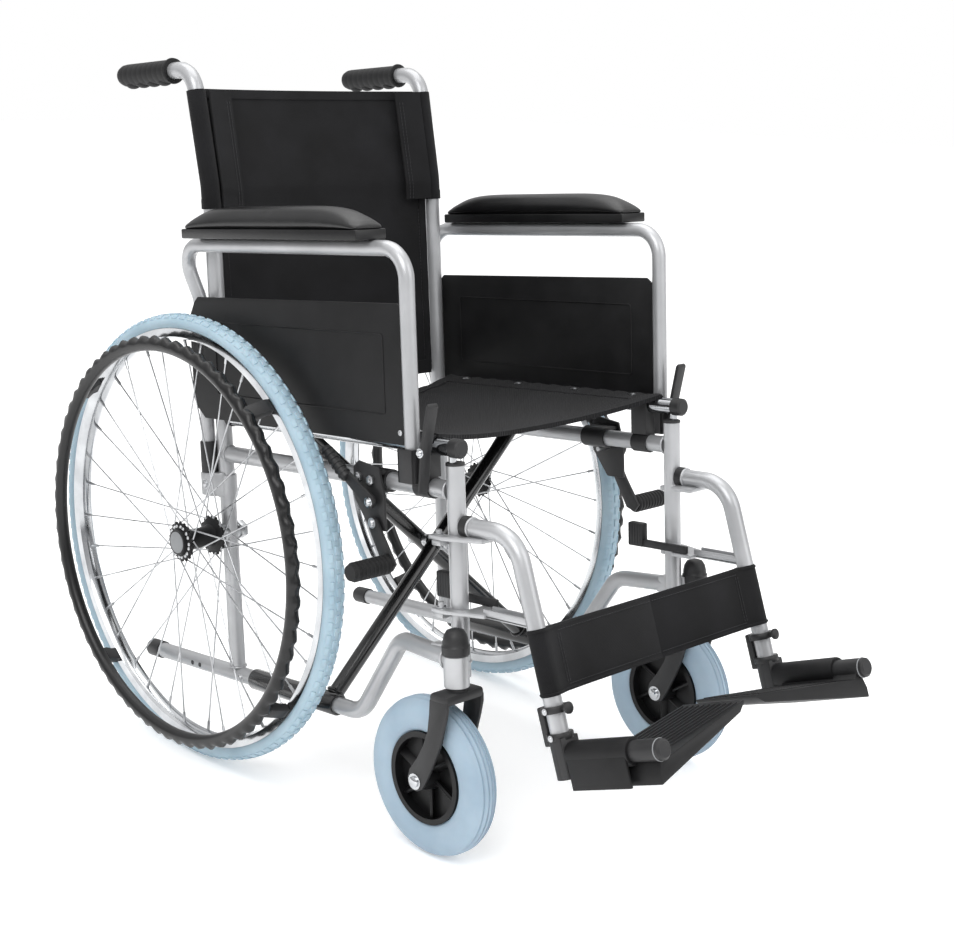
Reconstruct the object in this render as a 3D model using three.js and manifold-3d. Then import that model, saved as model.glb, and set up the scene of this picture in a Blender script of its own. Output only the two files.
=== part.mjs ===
// Manual folding wheelchair: two tubular side frames joined by a scissor brace, with a fabric seat
// and back, 24 in rear wheels with handrims, castors, lift-out armrests, brakes and swing-away
// legrests. Millimetres, +Z up, front towards -Y, the occupant's left towards +X.
//
// The frame leans back by RAKE, so it is drawn upright in its own coordinates and then tilted:
// x to the occupant's left, y rearwards from the rear post, z up from the rear axle.
// A side is drawn once, with +x outboard, and mirrored for the right-hand side.

import * as THREE from "three";
import { mergeVertices } from "three/addons/utils/BufferGeometryUtils.js";
import Module from "manifold-3d";

// ---- driving dimensions ------------------------------------------------------------------
const RAKE = 0.083; // lean of the frame, radians
const WHEEL_R = 305; // rear tyre, outside
const CASTOR_R = 100;
const ORIGIN_SHIFT = 235.83; // moves the ground point under the middle of the box to the origin

const TUBE_R = 11.1; // frame tube
const ARM_R = 9.5; // armrest tube
const BRACE_R = 10.5;
const GAP = 0.3; // between pieces that touch

const SIDE_X = 200; // centre plane of a side frame
const FRONT_Y = -455; // front post
const TOP_Z = 144; // top of the front post
const UPPER_Z = 109; // upper rail
const LOWER_Z = -203; // lower rail
const GRIP_Z = 622; // push handle

const SEAT_X = 204;
const SEAT_Z = 161;
const SEAT_REAR = -20;
const SEAT_FRONT = -472;
const BRACE_FRONT_Y = -200;
const BRACE_REAR_Y = -168;

const WHEEL_X = 259; // tyre centre plane
const TYRE_W = 14.5; // half width
const HANDRIM_X = 302.7;
const HANDRIM_R = 267.5;
const RIM_IN = 271;
const RIM_OUT = 286;
const SPOKES = 36;
const WHEEL_SIDES = 60;
const CASTOR_SIDES = 40;
const FLANGE_R = 25;
const FLANGE_IN = 229;
const FLANGE_OUT = 280;

const STEM_X = 225; // castor stem
const STEM_Y = -472;
const CASTOR_Y = -425;
const CASTOR_HALF = 19.5;
const CASTOR_HUB_R = 58;

const ARM_X = 228;
const ARM_Z = 393;
const ARM_FRONT_Y = -413;
const ARM_REAR_X = 214;
const ARM_REAR_Y = 18;
const PAD_X = 236;

const LEG_X = 197; // legrest hanger
const PIVOT_X = 216; // hanger hinge pin
const PIVOT_Y = -440;
const HANGER_SLOPE = 0.28; // forward run per drop
const HANGER_TOP_Z = 68;
const HANGER_BEND_Y = -548;
const FOOT_Z = -179; // foot tube, where it leaves the hanger
const FOOT_TUBE_R = 12.4;
const PLATE_HALF_GAP = 11;

// the castor's centre sits its radius above the floor
const CASTOR_Z = (CASTOR_R - WHEEL_R + CASTOR_Y * Math.sin(RAKE)) / Math.cos(RAKE);

// ---- solids ------------------------------------------------------------------------------
const wasm = await Module();
wasm.setup();

function toSolid(geometry) {
  const bare = geometry.index ? geometry.toNonIndexed() : geometry.clone();
  for (const name of Object.keys(bare.attributes)) {
    if (name !== "position") bare.deleteAttribute(name);
  }
  const merged = mergeVertices(bare, 1e-4);
  return new wasm.Manifold(
    new wasm.Mesh({
      numProp: 3,
      vertProperties: new Float32Array(merged.attributes.position.array),
      triVerts: new Uint32Array(merged.index.array),
    }),
  );
}

function fromSolid(solid) {
  const mesh = solid.getMesh();
  const geometry = new THREE.BufferGeometry();
  geometry.setAttribute("position", new THREE.BufferAttribute(mesh.vertProperties, 3));
  geometry.setIndex(new THREE.BufferAttribute(mesh.triVerts, 1));
  geometry.computeVertexNormals();
  return geometry;
}

const join = (first, ...rest) =>
  fromSolid(rest.reduce((solid, g) => solid.add(toSolid(g)), toSolid(first)));
const cut = (first, ...rest) =>
  fromSolid(rest.reduce((solid, g) => solid.subtract(toSolid(g)), toSolid(first)));

// A straight-sided block between two opposite corners.
function block(x0, x1, y0, y1, z0, z1) {
  const g = new THREE.BoxGeometry(x1 - x0, y1 - y0, z1 - z0);
  return g.translate((x0 + x1) / 2, (y0 + y1) / 2, (z0 + z1) / 2);
}

const V = (x, y, z) => new THREE.Vector3(x, y, z);

// A round bar from a to b.
function rod(a, b, r, sides = 12) {
  const along = b.clone().sub(a);
  const g = new THREE.CylinderGeometry(r, r, along.length(), sides);
  g.applyQuaternion(new THREE.Quaternion().setFromUnitVectors(V(0, 1, 0), along.clone().normalize()));
  return g.translate((a.x + b.x) / 2, (a.y + b.y) / 2, (a.z + b.z) / 2);
}

// A path of straight runs with round bends, sampled only where it bends.
class BentPath extends THREE.Curve {
  constructor(corners, radius, perBend = 5) {
    super();
    this.places = [];
    this.headings = [];
    const last = corners.length - 1;
    const add = (place, heading) => {
      this.places.push(place);
      this.headings.push(heading.clone().normalize());
    };
    add(corners[0], corners[1].clone().sub(corners[0]));
    for (let i = 1; i < last; i++) {
      const before = corners[i].clone().sub(corners[i - 1]).normalize();
      const after = corners[i + 1].clone().sub(corners[i]).normalize();
      const turn = before.angleTo(after);
      const r = Array.isArray(radius) ? radius[i - 1] : radius;
      const reach = r * Math.tan(turn / 2);
      const start = corners[i].clone().addScaledVector(before, -reach);
      const inward = after.clone().sub(before).normalize();
      const centre = corners[i].clone().addScaledVector(inward, r / Math.cos(turn / 2));
      const axis = before.clone().cross(after).normalize();
      for (let k = 0; k <= perBend; k++) {
        const part = (turn * k) / perBend;
        const spoke = start.clone().sub(centre).applyAxisAngle(axis, part);
        add(centre.clone().add(spoke), before.clone().applyAxisAngle(axis, part));
      }
    }
    add(corners[last], corners[last].clone().sub(corners[last - 1]));
  }
  get steps() {
    return this.places.length - 1;
  }
  getPoint(t) {
    return this.places[Math.round(t * this.steps)].clone();
  }
  getTangent(t) {
    return this.headings[Math.round(t * this.steps)].clone();
  }
  getPointAt(t) {
    return this.getPoint(t);
  }
  getTangentAt(t) {
    return this.getTangent(t);
  }
  getSpacedPoints(n) {
    return Array.from({ length: n + 1 }, (_, i) => this.getPoint(i / n));
  }
}

function roundShape(r, sides) {
  const points = [];
  for (let i = 0; i < sides; i++) {
    const a = (2 * Math.PI * (i + 0.5)) / sides;
    points.push(new THREE.Vector2(r * Math.cos(a), r * Math.sin(a)));
  }
  return new THREE.Shape(points);
}

function tube(corners, radius, r = TUBE_R, sides = 12, perBend = 5) {
  const path = new BentPath(corners, radius, perBend);
  return new THREE.ExtrudeGeometry(roundShape(r, sides), {
    steps: path.steps,
    extrudePath: path,
    bevelEnabled: false,
  });
}

// A flat plate: outline points [a, b] in the plane of two axes, with a thickness along the third.
function plate(outline, plane, from, to) {
  const shape = new THREE.Shape(outline.map(([a, b]) => new THREE.Vector2(a, b)));
  const g = new THREE.ExtrudeGeometry(shape, { depth: to - from, bevelEnabled: false });
  g.translate(0, 0, from);
  if (plane === "yz") g.applyMatrix4(new THREE.Matrix4().makeBasis(V(0, 1, 0), V(0, 0, 1), V(1, 0, 0)));
  if (plane === "xz") {
    g.applyMatrix4(new THREE.Matrix4().makeBasis(V(1, 0, 0), V(0, 0, 1), V(0, -1, 0)));
  }
  return g;
}

// A turned solid: profile points [radius, along], closed on itself, about an axis through a point.
function turned(profile, sides, axis = "x", at = V(0, 0, 0)) {
  const points = profile.map(([r, t]) => new THREE.Vector2(r, t));
  if (profile[0][0] !== 0) points.push(points[0].clone());
  const g = new THREE.LatheGeometry(points, sides);
  if (axis === "x") g.rotateZ(-Math.PI / 2);
  if (axis === "z") g.rotateX(Math.PI / 2);
  return g.translate(at.x, at.y, at.z);
}

// Wheels stand on a flat facet, level with the ground although the frame leans.
function standing(g, sides) {
  const facet = Math.PI / sides;
  return g.rotateX(RAKE + facet).scale(1, 1 / Math.cos(facet), 1 / Math.cos(facet));
}

// ---- materials ---------------------------------------------------------------------------
const look = (color, metalness, roughness) => ({ color, metalness, roughness });
const SILVER = look(0xc4c5c7, 0.55, 0.38);
const CHROME = look(0xdadcde, 1.0, 0.12);
const GLOSS = look(0x141415, 0.1, 0.25);
const BLACK = look(0x262627, 0.0, 0.5);
const CLOTH = look(0x2c2c2d, 0.0, 0.9);
const VINYL = look(0x303032, 0.0, 0.6);
const TYRE = look(0xb5cfdf, 0.0, 0.7);
const CASTOR_TYRE = look(0xa5b8c8, 0.0, 0.65);

function mesh(name, geometry, finish) {
  const made = new THREE.Mesh(geometry, new THREE.MeshStandardMaterial(finish));
  made.name = name;
  return made;
}

// ---- side frame --------------------------------------------------------------------------
// Rear post with the upper rail welded to it. It carries on up as the cane and turns back into
// the push handle.
function backFrame() {
  const lean = 0.1405;
  const post = tube(
    [
      V(SIDE_X, 0, LOWER_Z + TUBE_R + GAP),
      V(SIDE_X, 0, 470),
      V(SIDE_X + 2, lean * (GRIP_Z - 470), GRIP_Z),
      V(SIDE_X + 2, 178, GRIP_Z),
    ],
    [150, 34],
  );
  const rail = rod(V(SIDE_X, 0, UPPER_Z), V(SIDE_X, FRONT_Y + TUBE_R + GAP, UPPER_Z), TUBE_R);
  return join(post, rail);
}

function pushGrip() {
  const bore = TUBE_R + GAP;
  const profile = [
    [bore, 0],
    [15, 0],
    [15.5, 6],
    [14.5, 112],
    [9, 122],
    [0, 122],
    [0, 115],
    [bore, 115],
  ];
  const g = turned(profile, 16, "z");
  g.rotateX(-Math.PI / 2);
  return g.translate(SIDE_X + 2, 64.5, GRIP_Z);
}

// Lower rail, swept up over the castor, with the front post, the castor housing and its cap.
function lowerFrame() {
  const rail = tube(
    [
      V(SIDE_X, 212, LOWER_Z),
      V(SIDE_X, -266, LOWER_Z),
      V(SIDE_X + 3, -352, -89),
      V(STEM_X - 2, STEM_Y + 8, -88),
    ],
    [45, 32],
  );
  const post = rod(V(SIDE_X, FRONT_Y, -117), V(SIDE_X, FRONT_Y, TOP_Z), TUBE_R);
  const housing = turned(
    [
      [0, -120],
      [15.4, -120],
      [15.4, -79],
      [17.4, -78],
      [17.4, -70],
      [15, -57],
      [9, -47],
      [0, -44],
    ],
    16,
    "z",
    V(STEM_X, STEM_Y, 0),
  );
  const gusset = block(SIDE_X, STEM_X, -468, -425, -98, -78);
  const lug = (z0, z1) => block(SIDE_X, PIVOT_X + 6, PIVOT_Y - 8, PIVOT_Y + 7, z0, z1);
  const pin = (z0, z1) => rod(V(PIVOT_X, PIVOT_Y, z0), V(PIVOT_X, PIVOT_Y, z1), 3.8, 8);
  return join(
    rail,
    post,
    housing,
    gusset,
    lug(45, 52.7),
    pin(50, 64),
    lug(-43, -36.3),
    pin(-38, -24),
  );
}

function axle() {
  return turned(
    [
      [0, SIDE_X + TUBE_R + 0.5],
      [10, SIDE_X + TUBE_R + 0.5],
      [10, 218],
      [6, 218],
      [6, 283.5],
      [0, 283.5],
    ],
    12,
  );
}

// ---- wheels ------------------------------------------------------------------------------
function tyre() {
  const w = TYRE_W;
  const inner = RIM_OUT + GAP;
  const ring = turned(
    [
      [inner, WHEEL_X - 11],
      [292, WHEEL_X - w],
      [298, WHEEL_X - w + 2.5],
      [302.5, WHEEL_X - 8],
      [WHEEL_R, WHEEL_X],
      [302.5, WHEEL_X + 8],
      [298, WHEEL_X + w - 2.5],
      [292, WHEEL_X + w],
      [inner, WHEEL_X + 11],
    ],
    WHEEL_SIDES,
  );
  return standing(ring, WHEEL_SIDES);
}

function rim() {
  const w = 11.5;
  const ring = turned(
    [
      [RIM_IN, WHEEL_X - 5],
      [RIM_IN + 5, WHEEL_X - w],
      [RIM_OUT, WHEEL_X - w],
      [RIM_OUT, WHEEL_X + w],
      [RIM_IN + 5, WHEEL_X + w],
      [RIM_IN, WHEEL_X + 5],
    ],
    WHEEL_SIDES,
  );
  return standing(ring, WHEEL_SIDES);
}

// Hub shell with its two flanges and the tangentially laced spokes.
function wheelHub() {
  const bore = 6.4;
  const shell = turned(
    [
      [bore, 220.5],
      [11, 220.5],
      [11, FLANGE_IN - 2],
      [FLANGE_R, FLANGE_IN - 2],
      [FLANGE_R, FLANGE_IN + 2],
      [16, FLANGE_IN + 6],
      [16, FLANGE_OUT - 6],
      [FLANGE_R, FLANGE_OUT - 2],
      [FLANGE_R, FLANGE_OUT + 3],
      [18, FLANGE_OUT + 8],
      [0, FLANGE_OUT + 8],
      [0, 284.5],
      [bore, 284.5],
    ],
    18,
  );
  const spokes = [];
  for (let i = 0; i < SPOKES; i++) {
    const outer = i % 2 === 0;
    const lead = i % 4 < 2 ? 1 : -1;
    const rimAngle = (2 * Math.PI * i) / SPOKES;
    const hubAngle = rimAngle + lead * THREE.MathUtils.degToRad(78);
    const flange = outer ? FLANGE_OUT : FLANGE_IN;
    const hubEnd = V(flange, (FLANGE_R - 4) * Math.cos(hubAngle), (FLANGE_R - 4) * Math.sin(hubAngle));
    const r = RIM_IN - 0.6;
    const rimEnd = V(
      WHEEL_X + (outer ? 3 : -3),
      r * Math.cos(rimAngle),
      r * Math.sin(rimAngle),
    );
    spokes.push(rod(hubEnd, rimEnd, 1.3, 3));
  }
  return join(shell, ...spokes);
}

function handrim() {
  const ring = turned(
    Array.from({ length: 8 }, (_, i) => {
      const a = (2 * Math.PI * (i + 0.5)) / 8;
      return [HANDRIM_R + 9.5 * Math.cos(a), HANDRIM_X + 9.5 * Math.sin(a)];
    }),
    WHEEL_SIDES,
  );
  const tabs = [];
  for (let i = 0; i < 4; i++) {
    const tab = block(WHEEL_X + 12, HANDRIM_X, -8, 8, HANDRIM_R - 3, RIM_OUT - 2);
    tabs.push(tab.rotateX(Math.PI / 4 + (i * Math.PI) / 2));
  }
  return join(ring, ...tabs);
}

// ---- castors -----------------------------------------------------------------------------
function castorFork() {
  const z = CASTOR_Z;
  const blade = (x0, x1) =>
    plate(
      [
        [STEM_Y - 15, -124],
        [STEM_Y + 17, -124],
        [STEM_Y + 26, -165],
        [CASTOR_Y + 13, z + 4],
        [CASTOR_Y + 8, z - 10],
        [CASTOR_Y - 8, z - 11],
        [CASTOR_Y - 13, z + 4],
        [STEM_Y - 5, -160],
      ],
      "yz",
      x0,
      x1,
    );
  const crown = block(STEM_X - 31, STEM_X + 31, STEM_Y - 15, STEM_Y + 17, -136, -122);
  const shaft = rod(V(STEM_X - 34, CASTOR_Y, z), V(STEM_X + 34, CASTOR_Y, z), 4.5, 8);
  return join(
    crown,
    blade(STEM_X - 31, STEM_X - 26.5),
    blade(STEM_X + 26.5, STEM_X + 31),
    shaft,
    rod(V(STEM_X, STEM_Y, -124), V(STEM_X, STEM_Y, -120.4), 9),
  );
}

function castorTyre() {
  const h = CASTOR_HALF;
  const ring = turned(
    [
      [CASTOR_HUB_R + GAP, -h + 2],
      [88, -h],
      [97, -h + 5],
      [CASTOR_R, -9],
      [CASTOR_R, 9],
      [97, h - 5],
      [88, h],
      [CASTOR_HUB_R + GAP, h - 2],
    ],
    CASTOR_SIDES,
  );
  return standing(ring, CASTOR_SIDES).translate(STEM_X, CASTOR_Y, CASTOR_Z);
}

function castorHub() {
  const r = CASTOR_HUB_R;
  const hub = turned(
    [
      [5, -24],
      [14, -24],
      [17, -9],
      [r - 9, -9],
      [r - 7, -17.5],
      [r, -17.5],
      [r, 17.5],
      [r - 7, 17.5],
      [r - 9, 9],
      [17, 9],
      [14, 24],
      [5, 24],
    ],
    CASTOR_SIDES,
  );
  return hub.rotateX(RAKE + Math.PI / CASTOR_SIDES).translate(STEM_X, CASTOR_Y, CASTOR_Z);
}

// ---- armrest -----------------------------------------------------------------------------
function armrestTube() {
  return tube(
    [
      V(ARM_REAR_X, ARM_REAR_Y, 93),
      V(ARM_REAR_X, ARM_REAR_Y, 320),
      V(ARM_X, 38, ARM_Z),
      V(ARM_X, ARM_FRONT_Y, ARM_Z),
      V(ARM_X, ARM_FRONT_Y, 124),
    ],
    [50, 34, 36],
    ARM_R,
    10,
  );
}

function armPad() {
  const z = ARM_Z + ARM_R + GAP;
  return block(PAD_X - 25, PAD_X + 25, -364, -12, z, 439);
}

function skirtGuard() {
  return plate(
    [
      [4, 161],
      [14, 170],
      [22, 176],
      [27, 186],
      [27, 296],
      [14, 317],
      [6, 324],
      [-394, 329],
      [-403.2, 322],
      [-403.2, 161],
    ],
    "yz",
    ARM_X - 3.4,
    ARM_X + 0.6,
  );
}

// Rear socket: a short tube that the armrest's rear leg drops into, clamped to the rear post.
function rearArmSocket() {
  const x = ARM_REAR_X;
  const y = ARM_REAR_Y;
  const sleeve = rod(V(x, y, 84), V(x, y, 127), 11.6, 16);
  const strap = plate(
    [
      [SIDE_X - 15, -15],
      [SIDE_X + 15, -15],
      [SIDE_X + 26, 8],
      [SIDE_X + 24, 29],
      [SIDE_X + 4, 29],
      [SIDE_X - 15, 15],
    ],
    "xy",
    50,
    80,
  );
  const web = block(x - 7, x + 8, y - 8, y + 8, 78, 88);
  const bore = rod(V(x, y, 92.5), V(x, y, 140), ARM_R + 0.5, 16);
  const post = rod(V(SIDE_X, 0, 40), V(SIDE_X, 0, 140), TUBE_R + 0.6, 16);
  return cut(join(sleeve, strap, web), bore, post);
}

// Front socket block with the saddle that the seat rail rests in.
function frontArmSocket() {
  const socket = block(ARM_X - 13, ARM_X + 13, ARM_FRONT_Y - 13, ARM_FRONT_Y + 14, 119, 160);
  const saddle = block(SEAT_X - 15, ARM_X - 5.4, ARM_FRONT_Y - 6, ARM_FRONT_Y + 20, 110, 165);
  const leg = rod(V(ARM_X, ARM_FRONT_Y, 123.5), V(ARM_X, ARM_FRONT_Y, 170), ARM_R + 0.5, 16);
  const rail = rod(V(SIDE_X, -500, UPPER_Z), V(SIDE_X, -300, UPPER_Z), TUBE_R + GAP);
  const seat = rod(V(SEAT_X, -500, SEAT_Z), V(SEAT_X, -300, SEAT_Z), TUBE_R + 0.6);
  const mouth = block(SEAT_X - 11.7, SEAT_X + 11.7, -500, -300, SEAT_Z, 200);
  return cut(join(socket, saddle), leg, rail, seat, mouth);
}

// Rocker that locks the armrest's front leg.
function armLever() {
  return plate(
    [
      [-431, 108],
      [-427, 108],
      [-432, 158],
      [-446, 216],
      [-451, 214],
      [-437, 157],
    ],
    "yz",
    ARM_X - 8,
    ARM_X + 8,
  );
}

// ---- brake -------------------------------------------------------------------------------
const BRAKE_X = 230;
function brakeBracket() {
  const cheek = plate(
    [
      [-352, 96],
      [-352, 50],
      [-322, 50],
      [-296, 86],
      [-296, 126],
      [-306, 134],
      [-344, 128],
    ],
    "yz",
    BRAKE_X - 11,
    BRAKE_X - 6,
  );
  const clamp = block(SIDE_X - 15, BRAKE_X - 8, -342, -304, 92, 126);
  const rail = rod(V(SIDE_X, -500, UPPER_Z), V(SIDE_X, -200, UPPER_Z), TUBE_R + GAP);
  const opening = block(SIDE_X - 30, SIDE_X, -360, -290, UPPER_Z - 5, UPPER_Z + 5);
  return cut(join(cheek, clamp), rail, opening);
}

function brakeLever() {
  const bar = plate(
    [
      [-346, 88],
      [-337, 78],
      [-327, 82],
      [-292, 111],
      [-299, 122],
      [-338, 98],
    ],
    "yz",
    BRAKE_X,
    BRAKE_X + 5,
  );
  const grip = plate(
    [
      [-297, 106],
      [-262, 132],
      [-253, 144],
      [-256, 152],
      [-268, 152],
      [-305, 124],
    ],
    "yz",
    BRAKE_X - 0.5,
    BRAKE_X + 9.5,
  );
  return join(bar, grip);
}

function brakeShoe() {
  const arm = plate(
    [
      [-342, 66],
      [-329, 66],
      [-328, 52],
      [-352, 10],
      [-366, 6],
      [-372, 14],
      [-352, 48],
    ],
    "yz",
    BRAKE_X - 5.5,
    BRAKE_X - 0.8,
  );
  const roller = rod(V(BRAKE_X - 5, -362, 13), V(290, -362, 13), 12.3, 14);
  return join(arm, roller);
}

// ---- legrest -----------------------------------------------------------------------------
const hangerY = (z) => HANGER_BEND_Y - HANGER_SLOPE * (HANGER_TOP_Z - z);

// Swing-away hanger: bent tube with two flat ears on the hinge pins and a strut between.
function hanger() {
  const pipe = tube(
    [
      V(LEG_X + 2, FRONT_Y - TUBE_R - 0.5, HANGER_TOP_Z),
      V(LEG_X, HANGER_BEND_Y, HANGER_TOP_Z),
      V(LEG_X, hangerY(-204), -204),
    ],
    45,
    TUBE_R,
    12,
    6,
  );
  const ear = (z0, z1) =>
    plate(
      [
        [PIVOT_X - 4, PIVOT_Y + 9],
        [PIVOT_X + 9, PIVOT_Y + 9],
        [PIVOT_X + 9, PIVOT_Y - 14],
        [LEG_X + 12, -505],
        [LEG_X - 22, -505],
        [LEG_X - 22, FRONT_Y - 17],
        [SIDE_X + 8, FRONT_Y - 16],
        [PIVOT_X - 3.5, FRONT_Y + 2],
      ],
      "xy",
      z0,
      z1,
    );
  const strut = block(LEG_X - 9, LEG_X + 9, hangerY(-31) + 4, -500, -36, -26);
  const hole = rod(V(PIVOT_X, PIVOT_Y, -60), V(PIVOT_X, PIVOT_Y, 80), 4.4, 8);
  return cut(join(pipe, ear(53, 58.5), ear(-36, -31), strut), hole);
}

// Release handle beside the front post.
function hangerLatch() {
  const x = LEG_X - 19;
  const bar = block(x - 3, x + 3, -497, -405, -30.6, -20);
  const handle = block(x - 5, x + 7, -424, -398, -30.6, 2);
  return join(bar, handle);
}

// The sliding foot bracket and the plate are drawn square to the hanger tube and then tilted.
const HANGER_TILT = Math.atan(HANGER_SLOPE);
function footBracket() {
  const ring = (z) => rod(V(0, 0, z - 4), V(0, 0, z + 4), 16);
  const sleeve = block(-14, 14, -14, 3, -26, 24);
  const spine = block(-8, 8, 9, 21, 12, 58);
  const knob = rod(V(0, -13, 54), V(0, -20, 54), 3.8);
  const cap = rod(V(0, -19, 54), V(0, -25.5, 54), 7);
  const bore = rod(V(0, 0, -60), V(0, 0, 90), TUBE_R + 0.5);
  return join(cut(join(ring(23), ring(54), sleeve, spine), bore), knob, cap);
}

function footTube() {
  return rod(V(-1, -14.4, 0), V(-1, -152, 0), FOOT_TUBE_R, 16);
}

function footplate() {
  const r = FOOT_TUBE_R + 4;
  const sleeve = rod(V(-1, -15, 0), V(-1, -108, 0), r, 16);
  const skirt = block(r - 5, r - 1, -108, -15, -38, 0);
  const inner = -LEG_X + PLATE_HALF_GAP;
  const slab = plate(
    [
      [4, -26],
      [4, -38],
      [inner + 13, 0],
      [inner + 2, 8],
      [inner, 12],
      [-18, -11],
      [-12, -4],
      [-4, -4],
    ],
    "xz",
    27,
    142,
  );
  const bevel = plate(
    [
      [inner - 20, -118],
      [30, -147],
      [30, -200],
      [inner - 20, -200],
    ],
    "xy",
    -60,
    60,
  );
  const heel = plate(
    [
      [10, -108.5],
      [30, -108.5],
      [30, -200],
      [-9, -200],
      [-9, -108.5],
    ],
    "xy",
    -17,
    60,
  );
  const bore = rod(V(-1, 0, 0), V(-1, -160, 0), FOOT_TUBE_R + 0.5, 16);
  return cut(join(sleeve, skirt, slab), bevel, heel, bore);
}

// Half of the calf strap, between the hanger and the middle.
function calfStrap() {
  return block(6 - LEG_X, -TUBE_R - 1.5, -2, 2, -40, 40);
}

// ---- assembly ----------------------------------------------------------------------------
function side(prefix) {
  const group = new THREE.Group();
  const add = (name, geometry, finish) => group.add(mesh(`${prefix}_${name}`, geometry, finish));
  add("back_frame", backFrame(), SILVER);
  add("push_grip", pushGrip(), BLACK);
  add("lower_frame", lowerFrame(), SILVER);
  add("axle", axle(), CHROME);
  add("tyre", tyre(), TYRE);
  add("rim", rim(), CHROME);
  add("wheel_hub", wheelHub(), BLACK);
  add("handrim", handrim(), BLACK);
  add("castor_fork", castorFork(), BLACK);
  add("castor_tyre", castorTyre(), CASTOR_TYRE);
  add("castor_hub", castorHub(), BLACK);
  add("armrest_tube", armrestTube(), SILVER);
  add("arm_pad", armPad(), VINYL);
  add("skirt_guard", skirtGuard(), BLACK);
  add("rear_arm_socket", rearArmSocket(), SILVER);
  add("front_arm_socket", frontArmSocket(), BLACK);
  add("arm_lever", armLever(), BLACK);
  add("brake_bracket", brakeBracket(), BLACK);
  add("brake_lever", brakeLever(), BLACK);
  add("brake_shoe", brakeShoe(), BLACK);
  add("hanger", hanger(), SILVER);
  add("hanger_latch", hangerLatch(), BLACK);

  const foot = new THREE.Group();
  foot.position.set(LEG_X, hangerY(FOOT_Z), FOOT_Z);
  foot.rotation.x = -HANGER_TILT;
  foot.add(mesh(`${prefix}_foot_bracket`, footBracket(), BLACK));
  foot.add(mesh(`${prefix}_foot_tube`, footTube(), BLACK));
  foot.add(mesh(`${prefix}_footplate`, footplate(), BLACK));
  group.add(foot);

  const strap = new THREE.Group();
  strap.position.set(LEG_X, hangerY(-75), -75);
  strap.rotation.x = -HANGER_TILT;
  strap.add(mesh(`${prefix}_calf_strap`, calfStrap(), CLOTH));
  group.add(strap);
  return group;
}

// Scissor brace: one tube from a lower rail to the opposite seat rail, on a hinge sleeve.
function brace(sign, y, sleeveRear, sleeveFront) {
  const foot = V(-sign * SIDE_X, y, LOWER_Z);
  const head = V(sign * SEAT_X, y, SEAT_Z);
  const along = head.clone().sub(foot).normalize();
  const start = foot.clone().addScaledVector(along, 13);
  const end = head.clone().addScaledVector(along, -TUBE_R - GAP);
  const bar = rod(start, end, BRACE_R, 14);
  const sleeve = rod(V(foot.x, sleeveRear, LOWER_Z), V(foot.x, sleeveFront, LOWER_Z), 14.5, 14);
  const rail = rod(V(foot.x, 50, LOWER_Z), V(foot.x, -300, LOWER_Z), TUBE_R + 0.5);
  const middle = crossing();
  const bolt = rod(V(0, y - 30, middle), V(0, y + 30, middle), 5.2);
  return cut(join(bar, sleeve), rail, bolt);
}

const crossing = () => LOWER_Z + ((SEAT_Z - LOWER_Z) * SIDE_X) / (SIDE_X + SEAT_X);

function bracePivot() {
  const z = crossing();
  const y0 = BRACE_FRONT_Y - BRACE_R;
  const y1 = BRACE_REAR_Y + BRACE_R;
  const ring = (a, b, r) => rod(V(0, a, z), V(0, b, z), r);
  return join(
    ring(y0 - 7, y1 + 7, 4.8),
    ring(y0 - 6, y0 - 0.5, 9),
    ring(BRACE_FRONT_Y + BRACE_R + 0.5, BRACE_REAR_Y - BRACE_R - 0.5, 9),
    ring(y1 + 0.5, y1 + 6, 9),
  );
}

// Seat rail with the stub that stands on the front post.
function seatRail(sign) {
  const rail = rod(V(sign * SEAT_X, SEAT_REAR, SEAT_Z), V(sign * SEAT_X, SEAT_FRONT, SEAT_Z), TUBE_R);
  const stub = rod(V(sign * SEAT_X, FRONT_Y, SEAT_Z), V(sign * SEAT_X, FRONT_Y, TOP_Z + GAP), 5);
  return join(rail, stub);
}

// Seat fabric: a thin sheet that sags between the rails.
function seatSling() {
  const half = SEAT_X - 3;
  const top = SEAT_Z + TUBE_R + 1;
  const sag = 26;
  const upper = [];
  for (let i = 0; i <= 8; i++) {
    const x = -half + (2 * half * i) / 8;
    upper.push([x, top + 4 - sag * (1 - (x / half) ** 2)]);
  }
  const lower = upper.map(([x, z]) => [x, z - 3.5]).reverse();
  return plate([...upper, ...lower], "xz", 24, 432);
}

// Back fabric between the canes, following their lean.
function backSling() {
  return plate(
    [
      [-2, 190],
      [2, 190],
      [2, 470],
      [20, 594],
      [16, 594],
      [-2, 470],
    ],
    "yz",
    -SIDE_X + TUBE_R + 2,
    SIDE_X - TUBE_R - 2,
  );
}

const frame = new THREE.Group();
frame.rotation.x = -RAKE;
frame.position.set(0, ORIGIN_SHIFT, WHEEL_R);

const right = side("right");
right.scale.x = -1;
frame.add(right, side("left"));

frame.add(mesh("brace_front", brace(1, BRACE_FRONT_Y, -41, -218), GLOSS));
frame.add(mesh("brace_rear", brace(-1, BRACE_REAR_Y, -41, -190), GLOSS));
frame.add(mesh("brace_pivot", bracePivot(), CHROME));
frame.add(mesh("left_seat_rail", seatRail(1), CHROME));
frame.add(mesh("right_seat_rail", seatRail(-1), CHROME));
frame.add(mesh("seat_sling", seatSling(), CLOTH));
frame.add(mesh("back_sling", backSling(), CLOTH));

const wheelchair = new THREE.Group();
wheelchair.add(frame);
export default wheelchair;
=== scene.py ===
import math

import bpy
from mathutils import Matrix, Vector


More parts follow.
